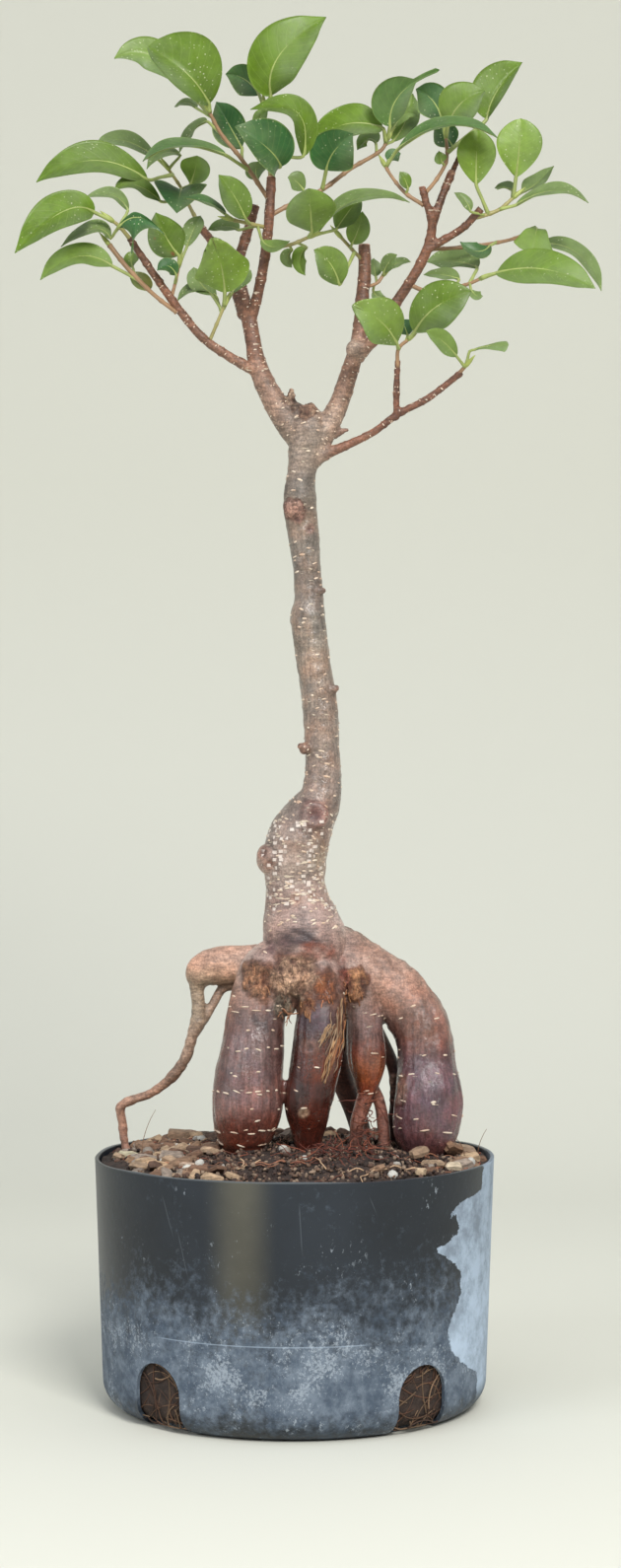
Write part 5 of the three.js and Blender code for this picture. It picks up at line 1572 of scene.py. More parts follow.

# %% [markdown]
# ## The leaves
# Ficus leaves are thick, glossy and nearly flat, on short stalks that run straight into the midrib. Each
# leaf here is given by four places (the stalk's foot, the blade's base, its middle and its tip), then its
# width, how far its face rolls towards the sky in degrees, and how much its sides cup upwards. The letter
# in `tones` is the leaf's green, partly painted light: b bright, a face painted as in full light, y young,
# m medium, g grey-green, a painted reflection of the sky, k deep, d dark, a face in painted shade, o olive.

# %% Spray tables
SPRAYS = {
    "top_left": {
        "tones": "bmdggkg",
        "twigs": [
            [[-10, 452.5, -3, 1.1], [-20, 467.3, -5, 1], [-27.8, 477, -8, 0.9], [-32.3, 485.5, -11, 0.8]],
        ],
        "leaves": [
            [[-32, 485, -11], [-32.2, 488, -13], [-41, 500, -21], [-55.3, 509.5, -19], 22, 10, 0.15],
            [[-32, 484, -10], [-41, 494, 0], [-54, 506.5, 4], [-67.9, 505.2, 0], 13, 10, 0.2],
            [[-20, 467.3, -5], [-19.8, 471.5, -1], [-24.5, 480, 2], [-29.5, 488.9, 4], 14, -25, 0.2],
            [[-27.8, 477, -8], [-33, 481.5, 0], [-38.5, 478, 4], [-43.5, 469.5, 6], 9, 55, 0.2],
            [[-31, 483, -10], [-37, 486.5, -3], [-41, 488.5, 0], [-45.2, 487, 3], 7, 50, 0.1],
            [[-17, 463, -4], [-26, 468.8, -11], [-42.7, 472.4, -17], [-57.2, 466.5, -23], 15, 62, 0.2],
            [[-14, 458.5, -3.6], [-13.8, 459.4, 3], [-14.6, 463, 6], [-13.6, 466.4, 7], 8, 10, 0.2],
        ],
    },
    "top_centre": {
        "tones": "bdbdm",
        "twigs": [[[-8.9, 458, -3, 1.2], [-9.5, 468, -3, 1.1], [-11, 480, -2, 1], [-11.5, 487, -2, 0.9]]],
        "leaves": [
            [[-11.5, 487, -2], [-8.9, 491, -4], [-5.6, 506.6, -10], [11.9, 520.8, -8], 21.5, 10, 0.2],
            [[-11.5, 486, -2], [-13.3, 491.5, 4], [-18.9, 497.4, 8], [-26, 499.3, 9], 12, -30, 0.2],
            [[-9.5, 468, -3], [3.2, 468.4, -10], [0.8, 485, -17], [-16.7, 486, -15], 14, 40, 0.2],
            [[-9.3, 464, -3], [-5.4, 464.5, -11], [-10.4, 471.6, -19], [-22.5, 479.6, -24], 20.5, 25, 0.4],
            [[-10.5, 476, -2], [-14.6, 478.8, -6], [-13, 482.8, -9], [-10, 486, -10], 6, 20, 0.1],
        ],
    },
    "centre_left": {
        "tones": "bdgm",
        "twigs": [[[-10.2, 441.5, -2, 1], [-17, 443, -6, 0.9], [-23.5, 444.5, -9, 0.8]]],
        "leaves": [
            [[-17, 443, -6], [-18.5, 444.8, -10], [-22.6, 453.2, -15], [-28.6, 461.4, -17], 11.5, 15, 0.2],
            [[-23, 444.4, -9], [-26, 446.5, -10], [-33, 451, -12], [-41.6, 452.6, -14], 9, 60, 0.2],
            [[-14, 442.3, -4], [-21, 440.6, -1], [-26.4, 442, 1], [-32.7, 440.6, 2], 9, 45, 0.2],
            [[-14, 442.3, -4], [-12.4, 437, -8], [-8.2, 434.3, -10], [-1.8, 436.5, -11], 7, 35, 0.2],
        ],
    },
    "mid_right": {
        "tones": "mgmmg",
        "twigs": [[[-10.4, 434.5, -3, 1], [-2, 435, -8, 0.9], [5.5, 438, -12, 0.8]]],
        "leaves": [
            [[5.5, 438, -12], [6.5, 440, -15], [6, 448, -25], [5.4, 456.3, -31], 19, 5, 0.2],
            [[5.5, 438, -12], [8.8, 440.2, -14], [24, 452.4, -20], [43.4, 451, -22], 13, 58, 0.2],
            [[5.5, 438, -12], [15.8, 441, -10], [20.4, 447.6, -9], [25, 453.6, -9], 10, 15, 0.2],
            [[1, 436, -10], [4.6, 434, -4], [2, 429.5, -1], [4, 423.5, 0], 7, 35, 0.2],
            [[-2, 435, -8], [-1, 433, -3], [-2.6, 430, 0], [-1, 426.5, 1], 6, 30, 0.2],
        ],
    },
    "centre_upper": {
        "tones": "bdkmmgg",
        "twigs": [
            [
                [-9.3, 446, -3, 1.2], [-3.5, 449.2, -1, 1.1], [10.4, 455.8, 4, 1.1], [21, 463.6, 6, 1],
                [33, 471, 6, 0.9], [34.9, 474.5, 6, 0.8],
            ],
        ],
        "leaves": [
            [[34.5, 473.5, 6], [33.4, 478.8, 3], [20, 480.6, 0], [6, 473.8, 3], 18.5, 35, 0.2],
            [[10.4, 455.8, 4], [11.9, 463.2, -1], [15, 470.4, -6], [22, 477, -9], 18, -12, 0.35],
            [[34.9, 474.5, 6], [35.9, 479.6, 2], [40, 492, -3], [54.6, 500.9, -8], 15.5, -12, 0.2],
            [[34.9, 474.5, 6], [37.4, 479, 7], [42, 484.3, 8], [46.8, 483, 7], 8, 40, 0.1],
            [[34, 472.8, 6], [37, 474, 10], [42, 482, 14], [44.5, 492, 15], 11, 20, 0.2],
            [[31, 470, 6], [30.6, 473.4, 11], [27.6, 474.8, 14], [23.6, 470.8, 15], 9, 35, 0.2],
            [[2, 452, 1], [3.4, 455.6, -2], [0.5, 459, -4], [-2.6, 460.4, -5], 8, 20, 0.2],
        ],
    },
    "right_inner": {
        "tones": "kbd",
        "twigs": [[[48.6, 450, -14.6, 1], [42, 454.3, -13, 0.9], [36.4, 461, -9, 0.8],
        [34.2, 464.7, -7, 0.8]]],
        "leaves": [
            [[34.4, 464.4, -7], [38.6, 470.6, -12], [57.4, 480.2, -28], [76.5, 475.3, -32], 15, 60, 0.2],
            [[42, 454.3, -13], [42.7, 456.2, -15], [41.6, 459.6, -17], [39.7, 462.6, -17], 5, 15, 0.1],
            [[34.6, 464, -7], [35.2, 466.6, -5], [37.2, 468.6, -3], [40, 469.4, -2], 6, 10, 0.1],
        ],
    },
    "right_top": {
        "tones": "dbbdm",
        "twigs": [
            [
                [48.8, 454, -15.4, 1], [53, 459, -16, 0.9], [57, 466, -16, 0.9], [57.4, 471, -14, 0.8],
                [57, 475.5, -13, 0.8],
            ],
        ],
        "leaves": [
            [[57, 475.3, -13], [55.6, 481.8, -6], [52, 489.4, -2], [45.7, 493.7, 0], 13, -20, 0.2],
            [[57, 475.5, -13], [58, 480.4, -15], [63, 488.6, -19], [71.7, 493, -19], 16, 12, 0.2],
            [[57.4, 469.6, -14.4], [72.4, 482.4, -8], [76.6, 493.4, -9], [85.8, 503.7, -8], 17, 10, 0.2],
            [[57.4, 470, -14.4], [59.6, 472, -6], [57, 476, -3], [52.7, 480.3, -2], 10, -10, 0.2],
            [[56.4, 465, -16], [55.6, 466, -19], [55, 467.6, -20], [54.4, 470.4, -20], 5, 10, 0.1],
        ],
    },
    "right_outer": {
        "tones": "yygggg",
        "twigs": [[[67, 445, -15.4, 1.1], [71, 446, -15, 1], [77.3, 448.4, -15, 0.9],
        [82.4, 452.8, -15, 0.8]]],
        "leaves": [
            [[73, 446.6, -15], [68.4, 457.7, -19], [68.5, 467.8, -22], [69, 478.4, -22], 14.5, 5, 0.1],
            [[82.4, 452.8, -15], [83.4, 460.4, -16], [84.6, 471.5, -19], [85.2, 482.6, -19], 17, 5, 0.1],
            [[82.4, 452.8, -15], [86, 455, -12], [91.4, 458.4, -9], [97.7, 464.7, -8], 9, 45, 0.3],
            [[82, 452.4, -15], [82, 455.6, -11], [79, 456.8, -7], [75.4, 456.4, -5], 7, 45, 0.2],
            [[77.3, 448.4, -15], [83.4, 450, -18], [98, 455.4, -23], [110.7, 450.8, -25], 12, 58, 0.2],
            [[71.6, 446.2, -15], [66.2, 447.6, -20], [64.3, 451.7, -21], [60.2, 454.7, -20], 5, 30, 0.1],
        ],
    },
    "right_mid": {
        "tones": "dmg",
        "twigs": [
            [
                [51, 433.4, -9, 1], [56, 433.6, -5, 0.9], [69.5, 434.8, -3, 0.9], [81, 436.9, -5, 0.8],
                [85.4, 438.4, -6, 0.8],
            ],
        ],
        "leaves": [
            [[76, 436, -4], [73.5, 434.6, -8], [68.7, 432.6, -11], [62.4, 436.2, -11], 8, 30, 0.2],
            [[85.4, 438.4, -6], [91, 440.4, -7], [91, 439.8, -13], [89.2, 431.4, -18], 20, 0, 0.3],
            [[85.4, 438.4, -6], [93, 435.4, -4], [107, 431.6, -3], [115.6, 417.6, -2], 11, 45, 0.2],
        ],
    },
    "right_lower": {
        "tones": "bggg",
        "twigs": [
            [
                [43.4, 420, -8.4, 1.1], [50, 417.5, -10, 1], [58, 418.4, -12, 0.9], [66, 420.5, -14, 0.8],
                [70, 422.3, -15, 0.8],
            ],
        ],
        "leaves": [
            [[70, 422.3, -15], [76, 424.4, -18], [94.4, 425.8, -30], [113.3, 418.6, -32], 16.5, 26, 0.2],
            [[66, 420.5, -14], [68.8, 426.4, -6], [60.5, 428.8, 3], [49.6, 428.6, 4], 13, 35, 0.2],
            [[60, 418.8, -12.4], [62, 422, -8], [56.1, 423.7, -5], [48.6, 423.8, -3], 8, 45, 0.2],
            [[66, 420.5, -14], [66.4, 418.4, -16], [68.4, 416, -18], [70.9, 415.8, -19], 5, 30, 0.1],
        ],
    },
    "lower_right": {
        "tones": "ybd",
        "twigs": [[[38.8, 389, -11.6, 1], [39.2, 396, -14, 0.9], [43, 399.5, -15, 0.8]]],
        "leaves": [
            [[39.2, 396, -14], [38.6, 397.6, -18], [33.1, 405.6, -27], [24.5, 411, -31], 17.5, 5, 0.2],
            [[43, 399.5, -15], [45.3, 402.4, -17], [53.5, 411.8, -25], [66.5, 417.6, -27], 17.5, 5, 0.1],
            [[42, 398.6, -15], [42.6, 401, -11], [41.6, 404, -9], [40.5, 407, -8], 8, 0, 0.2],
        ],
    },
    "far_right_low": {
        "tones": "mg",
        "twigs": [[[61.4, 386, -15.2, 1], [64.4, 389.4, -18, 0.9]]],
        "leaves": [
            [[64.2, 389, -18], [60.9, 393.2, -21], [55.7, 398.8, -28], [49.4, 402.6, -32], 8, 15, 0.2],
            [[64.4, 389.4, -18], [66, 395, -19], [73, 397, -23], [80.6, 397.4, -25], 8, 40, -0.3],
        ],
    },
    "heart": {
        "tones": "yggg",
        "twigs": [[[-32.2, 398.4, -4.6, 0.9], [-29, 406, -7, 0.8], [-26.5, 412, -8, 0.8]]],
        "leaves": [
            [[-26.5, 412, -8], [-26.3, 417.2, -11], [-27.4, 426, -19], [-29.5, 433.5, -26], 21, 0, 0.2],
            [[-27.5, 409.6, -7.6], [-29.6, 415.6, -3], [-37, 419, 0], [-44.2, 413.8, 1], 9, 50, 0.2],
            [[-27.2, 410.2, -7.6], [-31, 416, -5], [-36, 421.4, 0], [-38, 426.6, 2], 9, 10, 0.2],
            [[-26.8, 411, -8], [-23.6, 416.8, -7], [-19.6, 422.6, -6], [-16.4, 425.4, -5], 8, 25, 0.2],
        ],
    },
    "left_tip": {
        "tones": "bggd",
        "twigs": [[[-61, 436, -18, 1.1], [-66, 442, -21, 0.9], [-68.5, 444, -22, 0.8]]],
        "leaves": [
            [[-68.5, 444, -22], [-75.7, 447.4, -25], [-88, 447.2, -34], [-105.4, 431.9, -38], 17, 24, 0.2],
            [[-66, 442, -21], [-62.8, 448, -18], [-69, 453.8, -19], [-79.1, 452.6, -21], 9, 52, 0.2],
            [[-66, 442, -21], [-69.4, 437.4, -19], [-76, 441, -22], [-88, 434.3, -24], 10, 50, 0.2],
            [[-66, 442, -21], [-66.4, 441.8, -26], [-58.4, 445.4, -30], [-49, 439, -31], 14, 5, 0.2],
        ],
    },
    "left_mid": {
        "tones": "bdg",
        "twigs": [[[-46.6, 414.4, -10, 0.9], [-45, 420.5, -11, 0.8], [-43.6, 427, -12, 0.8]]],
        "leaves": [
            [[-43.6, 427, -12], [-43.6, 431, -14], [-48.4, 438, -18], [-52.3, 447.2, -20], 14, -5, 0.2],
            [[-45, 420.5, -11], [-44.6, 423.6, -15], [-47.6, 427, -18], [-51.8, 425.4, -19], 7, 25, 0.2],
            [[-43.6, 427, -12], [-40.6, 434.3, -9], [-38, 441, -6], [-35.4, 446, -4], 9, 30, 0.2],
        ],
    },
    "left_lower": {
        "tones": "mom",
        "twigs": [
            [[-44.4, 409.6, -8.6, 1.1], [-52.7, 416, -12, 1], [-62.4, 425.7, -16, 1.1],
            [-69.8, 435, -17, 1.2]],
        ],
        "leaves": [
            [[-58, 421.4, -14], [-68.6, 427, -18], [-82, 430.6, -23], [-95.8, 421.8, -27], 13, 38, 0.2],
            [[-52.7, 416, -12], [-55, 417.6, -7], [-58, 421, -5], [-62.4, 424.6, -5], 8, 30, 0.2],
            [[-60, 423.4, -15], [-61, 426.6, -10], [-61.6, 429.6, -8], [-60.8, 432.8, -7], 6, 10, 0.1],
        ],
    },
    "left_back": {
        "tones": "bgmdgm",
        "twigs": [
            [
                [-34.6, 440.4, 22.4, 1.1], [-39.3, 449, 24, 0.9], [-42.5, 456, 22, 0.8],
                [-47.5, 463.5, 18, 0.8],
            ],
        ],
        "leaves": [
            [[-46, 461.4, 19], [-55.3, 459.5, 6], [-76, 466.8, -4], [-97.3, 458.6, -9], 17, 32, 0.2],
            [[-47.5, 463.5, 18], [-52, 467.7, 17], [-64.6, 474.4, 16], [-74.6, 472.8, 14], 10, 40, 0.2],
            [[-40.8, 452, 23], [-50.5, 451.4, 8], [-59.8, 457.4, 1], [-67.9, 455.4, -4], 10, 40, 0.2],
            [[-42.5, 456, 22], [-42.6, 455.4, 15], [-43.2, 454, 6], [-44.4, 447, -1], 20, 0, 0.45],
            [[-47.5, 463.5, 18], [-43, 468.8, 14], [-49.6, 469.4, 10], [-55.7, 463.6, 8], 8, 45, 0.2],
            [[-42.5, 456, 22], [-39.3, 457.6, 16], [-37.4, 463.6, 10], [-36.8, 468.6, 6], 12, 5, 0.1],
        ],
    },
    "fork_left": {
        "tones": "mm",
        "twigs": [[[25.8, 429, 4, 0.9], [21, 434, 0, 0.8], [17.4, 438, -2, 0.8]]],
        "leaves": [
            [[21, 434, 0], [21.6, 435.4, -3], [24, 441, -6], [25.6, 447.6, -8], 9, -15, 0.2],
            [[22.6, 432.4, 1], [16.9, 420, -7], [13.4, 428, -12], [7.3, 433.2, -14], 12, 5, 0.2],
        ],
    },
    "fork_right": {
        "tones": "gggg",
        "twigs": [[[26, 419, 3.4, 0.9], [31, 420.6, 6, 0.8], [33.4, 423.6, 7, 0.8]]],
        "leaves": [
            [[31, 420.6, 6], [30.6, 423, 9], [30, 426.4, 11], [29.8, 430, 12], 6, 20, 0.2],
            [[33.4, 423.6, 7], [35, 425, 8], [39, 428.2, 9], [43.8, 428.6, 9], 6, 45, 0.2],
            [[33.4, 423.6, 7], [33.6, 424.6, 5], [35.6, 428.6, 3], [38.6, 431.4, 2], 6, 20, 0.2],
            [[30, 420.4, 5.6], [29.6, 417.6, 8], [31.4, 415.6, 9], [34.2, 415.6, 9], 5, 10, 0.1],
        ],
    },
}
print("sprays:", ", ".join(SPRAYS))

# %% The blade's outline
# A few leaves have a form of their own: "blunt" rounds the tip, "lobes" sets it back between two lobes
# where it bends away, "tail" is where a drawn-out tip begins, "lean" makes one half narrower, "peak" is
# where a folded margin stands up, "flare" widens the end, and "width" is the width as it looks when folded.
OWN_FORM = {
    ("right_outer", 0): {"blunt": 1}, ("right_outer", 1): {"blunt": 1}, ("mid_right", 0): {"blunt": 0.8},
    ("heart", 0): {"blunt": 0.7, "lobes": 0.45}, ("lower_right", 0): {"blunt": 0.9, "lobes": 0.3},
    ("centre_upper", 2): {"tail": 0.76, "lean": -0.3, "width": 14, "cup": 0.5},
    ("right_top", 2): {"lean": -0.4, "width": 13, "cup": 0.5},
    ("left_tip", 3): {"peak": 0.4, "lean": 0.8, "width": 17},
    ("left_back", 5): {"blunt": 0.7}, ("top_left", 0): {"blunt": 0.5, "lean": 0.25, "cup": 0.45},
    ("right_mid", 1): {"flare": 1}, ("far_right_low", 1): {"flare": 1}, ("lower_right", 1): {"blunt": 0.4},
}


def smooth_share(value, low, high):
    share = np.clip((value - low) / (high - low), 0, 1)
    return share ** 2 * (3 - 2 * share)


def breadth_at(t, blunt=0.0, tail=1.0, peak=0.0, flare=0.0):
    """Half the blade's width along it, as a share of its greatest half."""
    if peak:
        return np.exp(-np.abs((t - peak) / 0.26) ** 1.4) * np.sin(math.pi * t) ** 0.4
    if flare:
        return (0.25 * np.sin(math.pi * t) + 0.9 * t ** 3) * np.clip((1 - t) / 0.08, 0, 1) ** 0.5
    along = np.clip(t / tail, 0, 1)
    pointed = np.sin(math.pi * along ** 0.9) ** 0.75 * (1 - 0.3 * smooth_share(along, 0.84, 1))
    rounded = np.sin(math.pi * along ** 1.3) ** 0.62
    body = pointed * (1 - blunt) + rounded * blunt
    return np.maximum(body, 0.13 * smooth_share(t, tail - 0.2, tail) * (t < 1) * (tail < 1))


half_widths = breadth_at(np.array([0.1, 0.3, 0.5, 0.7, 0.9]))
print("a plain blade's outline, as shares of its width:", half_widths.round(2))

# %% The blade's bend
def midrib_at(base, middle, tip, t):
    """Places and directions on the curve through base, middle and tip."""
    control = 2 * middle - (base + tip) / 2
    t = t[:, None]
    places = (1 - t) ** 2 * base + 2 * t * (1 - t) * control + t ** 2 * tip
    return places, unit(2 * (1 - t) * (control - base) + 2 * t * (tip - control))


def blade_frames(tangents, chord, roll):
    """Up out of the blade's face and sideways to its margin, at each place of the midrib."""
    viewer = np.array([0.0, -1.0, 0.0])
    facing = unit(viewer - tangents * (tangents @ viewer)[:, None])
    across = np.cross(tangents, facing)
    skyward = -1 if np.cross(chord, viewer)[2] < 0 else 1
    angle = math.radians(roll)
    ups = facing * math.cos(angle) + across * skyward * math.sin(angle)
    return ups, np.cross(tangents, ups)


bend = midrib_at(np.array([0, 0, 0]), np.array([20, 0, 8]), np.array([40, 0, 0]), np.array([0.0, 1.0]))
print("a bent midrib starts towards", bend[1][0].round(2), "and ends towards", bend[1][1].round(2))

# %% The blade's form
BLADE_ROWS = 40
BLADE_COLUMNS = 15
BLADE_THICKNESS = 0.36
VEIN_PAIRS = 9


def vein_swell(t, v):
    """0 on the side veins and 1 between them; they leave the midrib at a slant."""
    phase = (t - 0.22 * np.abs(v)) * (VEIN_PAIRS + 1)
    return np.abs(np.sin(phase * math.pi)) ** 0.6


def blade(row, seed, lobes=0.0, lean=0.0, width=None, cup=None, **form):
    """Points, faces and the place on the blade (t, v, underside) of one leaf."""
    base, middle, tip = [seen(*place) for place in row[1:4]]
    width, roll, cup = width or row[4], row[5], cup or row[6]
    t = np.linspace(0, 1, BLADE_ROWS) ** 1.05
    v = np.linspace(-1, 1, BLADE_COLUMNS)
    centres, tangents = midrib_at(base, middle, tip, t)
    ups, sides = blade_frames(tangents, tip - base, roll)
    half = np.maximum(breadth_at(t, **form) * width / 2, 0.15)
    tt, vv = np.meshgrid(t, v, indexing="ij")
    reach = vv * half[:, None] * (1 + lean * np.sign(vv))
    ahead = lobes * width * smooth_share(tt, 0.45, 1) * (np.exp(-((np.abs(vv) - 0.6) / 0.35) ** 2) - 0.4)
    waves = 0.035 * width * np.sin(tt * 9 + seed * 2.4 + np.sign(vv) * seed) * np.abs(vv) ** 2 * (1 - tt ** 4)
    lift = half[:, None] * cup * np.abs(vv) ** 1.15 + waves
    groove = -0.16 * np.exp(-(vv * half[:, None] / 0.6) ** 2)
    quilt = 0.12 * vein_swell(tt, vv) * (1 - np.abs(vv) ** 3) * np.clip(np.abs(vv) * 5, 0, 1)
    skin = BLADE_THICKNESS / 2 * (1 - 0.75 * np.abs(vv) ** 6)
    spread = centres[:, None] + sides[:, None] * reach[..., None] + tangents[:, None] * ahead[..., None]
    points, places = [], []
    for sign, under in ((1, 0), (-1, 1)):
        height = lift + groove * (1 if sign > 0 else 0.2) + quilt + sign * skin
        points.append((spread + ups[:, None] * height[..., None]).reshape(-1, 3))
        places.append(np.column_stack([tt.ravel(), vv.ravel(), np.full(tt.size, under)]))
    return np.vstack(points), blade_faces(), np.vstack(places)


def blade_faces():
    faces = []
    size = BLADE_ROWS * BLADE_COLUMNS
    for row in range(BLADE_ROWS - 1):
        for column in range(BLADE_COLUMNS - 1):
            here = row * BLADE_COLUMNS + column
            corners = (here, here + 1, here + 1 + BLADE_COLUMNS, here + BLADE_COLUMNS)
            faces.append(corners[::-1])
            faces.append(tuple(corner + size for corner in corners))
    rim = [row * BLADE_COLUMNS for row in range(BLADE_ROWS)]
    rim += [(BLADE_ROWS - 1) * BLADE_COLUMNS + column for column in range(1, BLADE_COLUMNS)]
    rim += [row * BLADE_COLUMNS + BLADE_COLUMNS - 1 for row in range(BLADE_ROWS - 2, -1, -1)]
    rim += list(range(BLADE_COLUMNS - 2, 0, -1))
    for here, there in zip(rim, rim[1:] + rim[:1]):
        faces.append((here, there, there + size, here + size))
    return faces


points, faces, places = blade([[0, 0, 0], [0, 0, 0], [20, 10, 0], [40, 10, 0], 18, 10, 0.2], 1)
print("one blade:", len(points), "points,", len(faces), "faces")

# %% [markdown]
# ### Stalks and twigs
# A stalk is thickest at its foot, and goes on under the blade as the midrib, which stands out on the
# underside. Twigs swell a little at every leaf and end in a pointed bud, wrapped in a pale green sheath.

# %% Stalks and twigs
STALK_COLOUR = linear(148, 160, 92)
TWIG_COLOURS = [linear(150, 118, 88), linear(148, 140, 88)]
BUD_COLOUR = linear(150, 160, 84)


def stalk_places(row):
    foot, base, middle, tip = [seen(*place) for place in row[:4]]
    t = np.array([0.12, 0.3, 0.5, 0.7, 0.86, 0.95])
    centres, tangents = midrib_at(base, middle, tip, t)
    ups, _ = blade_frames(tangents, tip - base, row[5])
    small = min(1.0, 0.55 + row[4] / 40)
    radii = np.array([0.62, 0.5, 0.4, 0.3, 0.2, 0.14]) * small
    centres = centres - ups * (0.28 * small)
    between_ends = foot * 0.5 + base * 0.5
    rows = [[*foot, 0.95 * small], [*between_ends, 0.72 * small], [*base, 0.74 * small]]
    rows += [[*centre, radius] for centre, radius in zip(centres, radii)]
    return smooth_path(rows, 1.6)


def twig_places(table):
    places = smooth_path(station_rows(table), 1.0)
    swell = np.clip(np.cos(np.arange(len(places)) / 7.0 * 2 * math.pi) - 0.6, 0, 1)
    places[:, 3] *= 0.8 + 0.45 * swell
    return places


def bud_places(table):
    """A slim pointed bud that goes on from the end of a twig."""
    last, before = np.array(station_rows(table))[[-1, -2], :3]
    ahead = unit(last - before)
    return np.array([[*(last + ahead * step), radius] for step, radius in
                     ((-0.8, 0.6), (0.8, 0.95), (2.4, 0.85), (4.2, 0.5), (6.0, 0.12))])


def spray_stems(spray, draws):
    pile = Pile()
    for table in spray["twigs"]:
        pile.add(*tube(twig_places(table), 10), stem=TWIG_COLOURS[draws.integers(2)])
        pile.add(*tube(bud_places(table), 10), stem=BUD_COLOUR)
    for row in spray["leaves"]:
        pile.add(*tube(stalk_places(row), 8), stem=STALK_COLOUR * draws.uniform(0.85, 1.15))
    return pile


print("a stalk has", len(stalk_places(SPRAYS["heart"]["leaves"][0])), "places")

# %% [markdown]
# ### Leaf green
# The upper face is dark and waxy and the underside pale and dull. The midrib is yellow-green near the
# base, the margin of a full-grown leaf is a thin pale line, and side veins show as a slightly different
# green. Soft grey-green patches are partly a grey bloom from years on a patio and partly painted sheen,
# and dust lies in pale specks. Only one material is needed: the leaf's own tone, painted light included,
# comes from the mesh.

# %% Veins and dust
def veins_and_rib(wiring, t, aside):
    """How much of the side veins and of the midrib shows at a place on the blade."""
    slant = wiring.minus(t, wiring.times(aside, 0.22))
    wave = wiring.maths("SINE", wiring.times(slant, (VEIN_PAIRS + 1) * math.pi))
    vein = wiring.step(wiring.maths("ABSOLUTE", wave), 0.0, 0.3, 0.2, 0.0)
    rib_width = wiring.step(t, 0.0, 0.9, 0.075, 0.025)
    rib = wiring.step(wiring.maths("DIVIDE", aside, rib_width), 0.3, 1.0, 0.26, 0.0)
    return vein, wiring.times(rib, wiring.step(t, 0.05, 0.8, 0.9, 0.3))


def dust(wiring):
    """Pale specks in soft patches."""
    cells = wiring.node("ShaderNodeTexVoronoi", Vector=wiring.place, Scale=620.0).outputs["Distance"]
    return wiring.times(wiring.step(cells, 0.1, 0.2, 0.6, 0.0), wiring.mottled(60.0, 0.42, 0.62, detail=2.0))


print("side veins:", 2 * VEIN_PAIRS)

# %% Leaf material
# b, g and d are painted light: b a face as in full light, g a painted sky reflection, d a face in painted
# shade
LEAF_TONES_AND_PAINTED_LIGHT = {
    "b": (84, 110, 18), "y": (108, 134, 42), "m": (102, 126, 50), "g": (102, 121, 68), "k": (72, 102, 50),
    "d": (44, 86, 42), "o": (118, 118, 58),
}
MARGINS = {"b": 0.1, "y": 0.2, "m": 0.25, "g": 0.3, "k": 0.5, "d": 0.6, "o": 0.3}
# Painted sky reflection: the lower half of a blade is painted greyer, for the grey sky it mirrors
PAINTED_SKY_GREEN = linear(116, 138, 88)
MIDRIB_COLOUR = linear(156, 172, 96)
MARGIN_COLOUR = linear(150, 172, 98)
DUST_COLOUR = linear(206, 208, 176)
BLOOM_AND_SHEEN_COLOUR = linear(134, 152, 104)
UNDERSIDE_COLOUR = linear(150, 164, 92)
SPOT_COLOUR = linear(112, 74, 44)


def leaf_material():
    wiring = Finish("waxy_leaf")
    tone = wiring.value_of("leaf_tone", "Color")
    t, v, under = wiring.parts_of(wiring.value_of("blade"))
    margin, spots, _ = wiring.parts_of(wiring.value_of("leaf_extra"))
    aside = wiring.maths("ABSOLUTE", v)
    vein, rib = veins_and_rib(wiring, t, aside)
    moved = wiring.stretch((1, 1, 1), (0.4, 0, 0.1))
    bloom = wiring.mottled(45.0, 0.35, 0.7, detail=4.0, harshness=0.6, place=moved)
    brown = wiring.mottled(130.0, 0.6, 0.68, detail=2.0)
    green = wiring.shaded(tone, wiring.mottled(150.0, 0.3, 0.7, 0.8, 1.18, 5.0, 0.72))
    colour = wiring.layered(green, [
        (vein, wiring.mix(0.5, tone, MIDRIB_COLOUR)),
        (rib, MIDRIB_COLOUR),
        # Grey bloom and painted sheen, in soft patches
        (wiring.times(bloom, 0.26), BLOOM_AND_SHEEN_COLOUR),
        (wiring.times(wiring.step(aside, 0.93, 0.99), margin, 0.75), MARGIN_COLOUR),
        (wiring.times(under, 0.85), wiring.mix(0.5, tone, UNDERSIDE_COLOUR)),
        (dust(wiring), DUST_COLOUR),
        (wiring.times(brown, spots), SPOT_COLOUR),
    ])
    rough = wiring.plus(wiring.mottled(70.0, 0.3, 0.7, 0.34, 0.5), wiring.times(under, 0.25))
    height = wiring.plus(wiring.noise(700.0, 3.0, 0.5), wiring.times(vein, -2.0))
    return wiring.finish(
        Base_Color=colour, Roughness=rough, Normal=wiring.bump(height, 0.2, 0.0003),
        Specular_IOR_Level=0.32, Subsurface_Weight=0.12, Subsurface_Radius=(0.6, 1.0, 0.2),
        Subsurface_Scale=0.0015,
    )


def stem_material():
    wiring = Finish("green_stalks")
    shade = wiring.mottled(260.0, 0.3, 0.7, 0.85, 1.15)
    return wiring.finish(Base_Color=wiring.shaded(wiring.value_of("stem", "Color"), shade), Roughness=0.42)


print("leaf tones:", len(LEAF_TONES_AND_PAINTED_LIGHT))

# %% Every spray
LEAF_SEED = 21
SPOTTED = {("left_mid", 0)}


def with_painted_sky_reflection(places, row, tone, share):
    """The blade's tone at every point, with a painted sky reflection that turns its lower half greyer."""
    lower = 1 if row[3][0] > row[1][0] else -1
    greyed = share * smooth_share(places[:, 1] * lower, 0.0, 0.8)[:, None]
    return tone * (1 - greyed) + PAINTED_SKY_GREEN * tone.sum() / PAINTED_SKY_GREEN.sum() * 0.95 * greyed


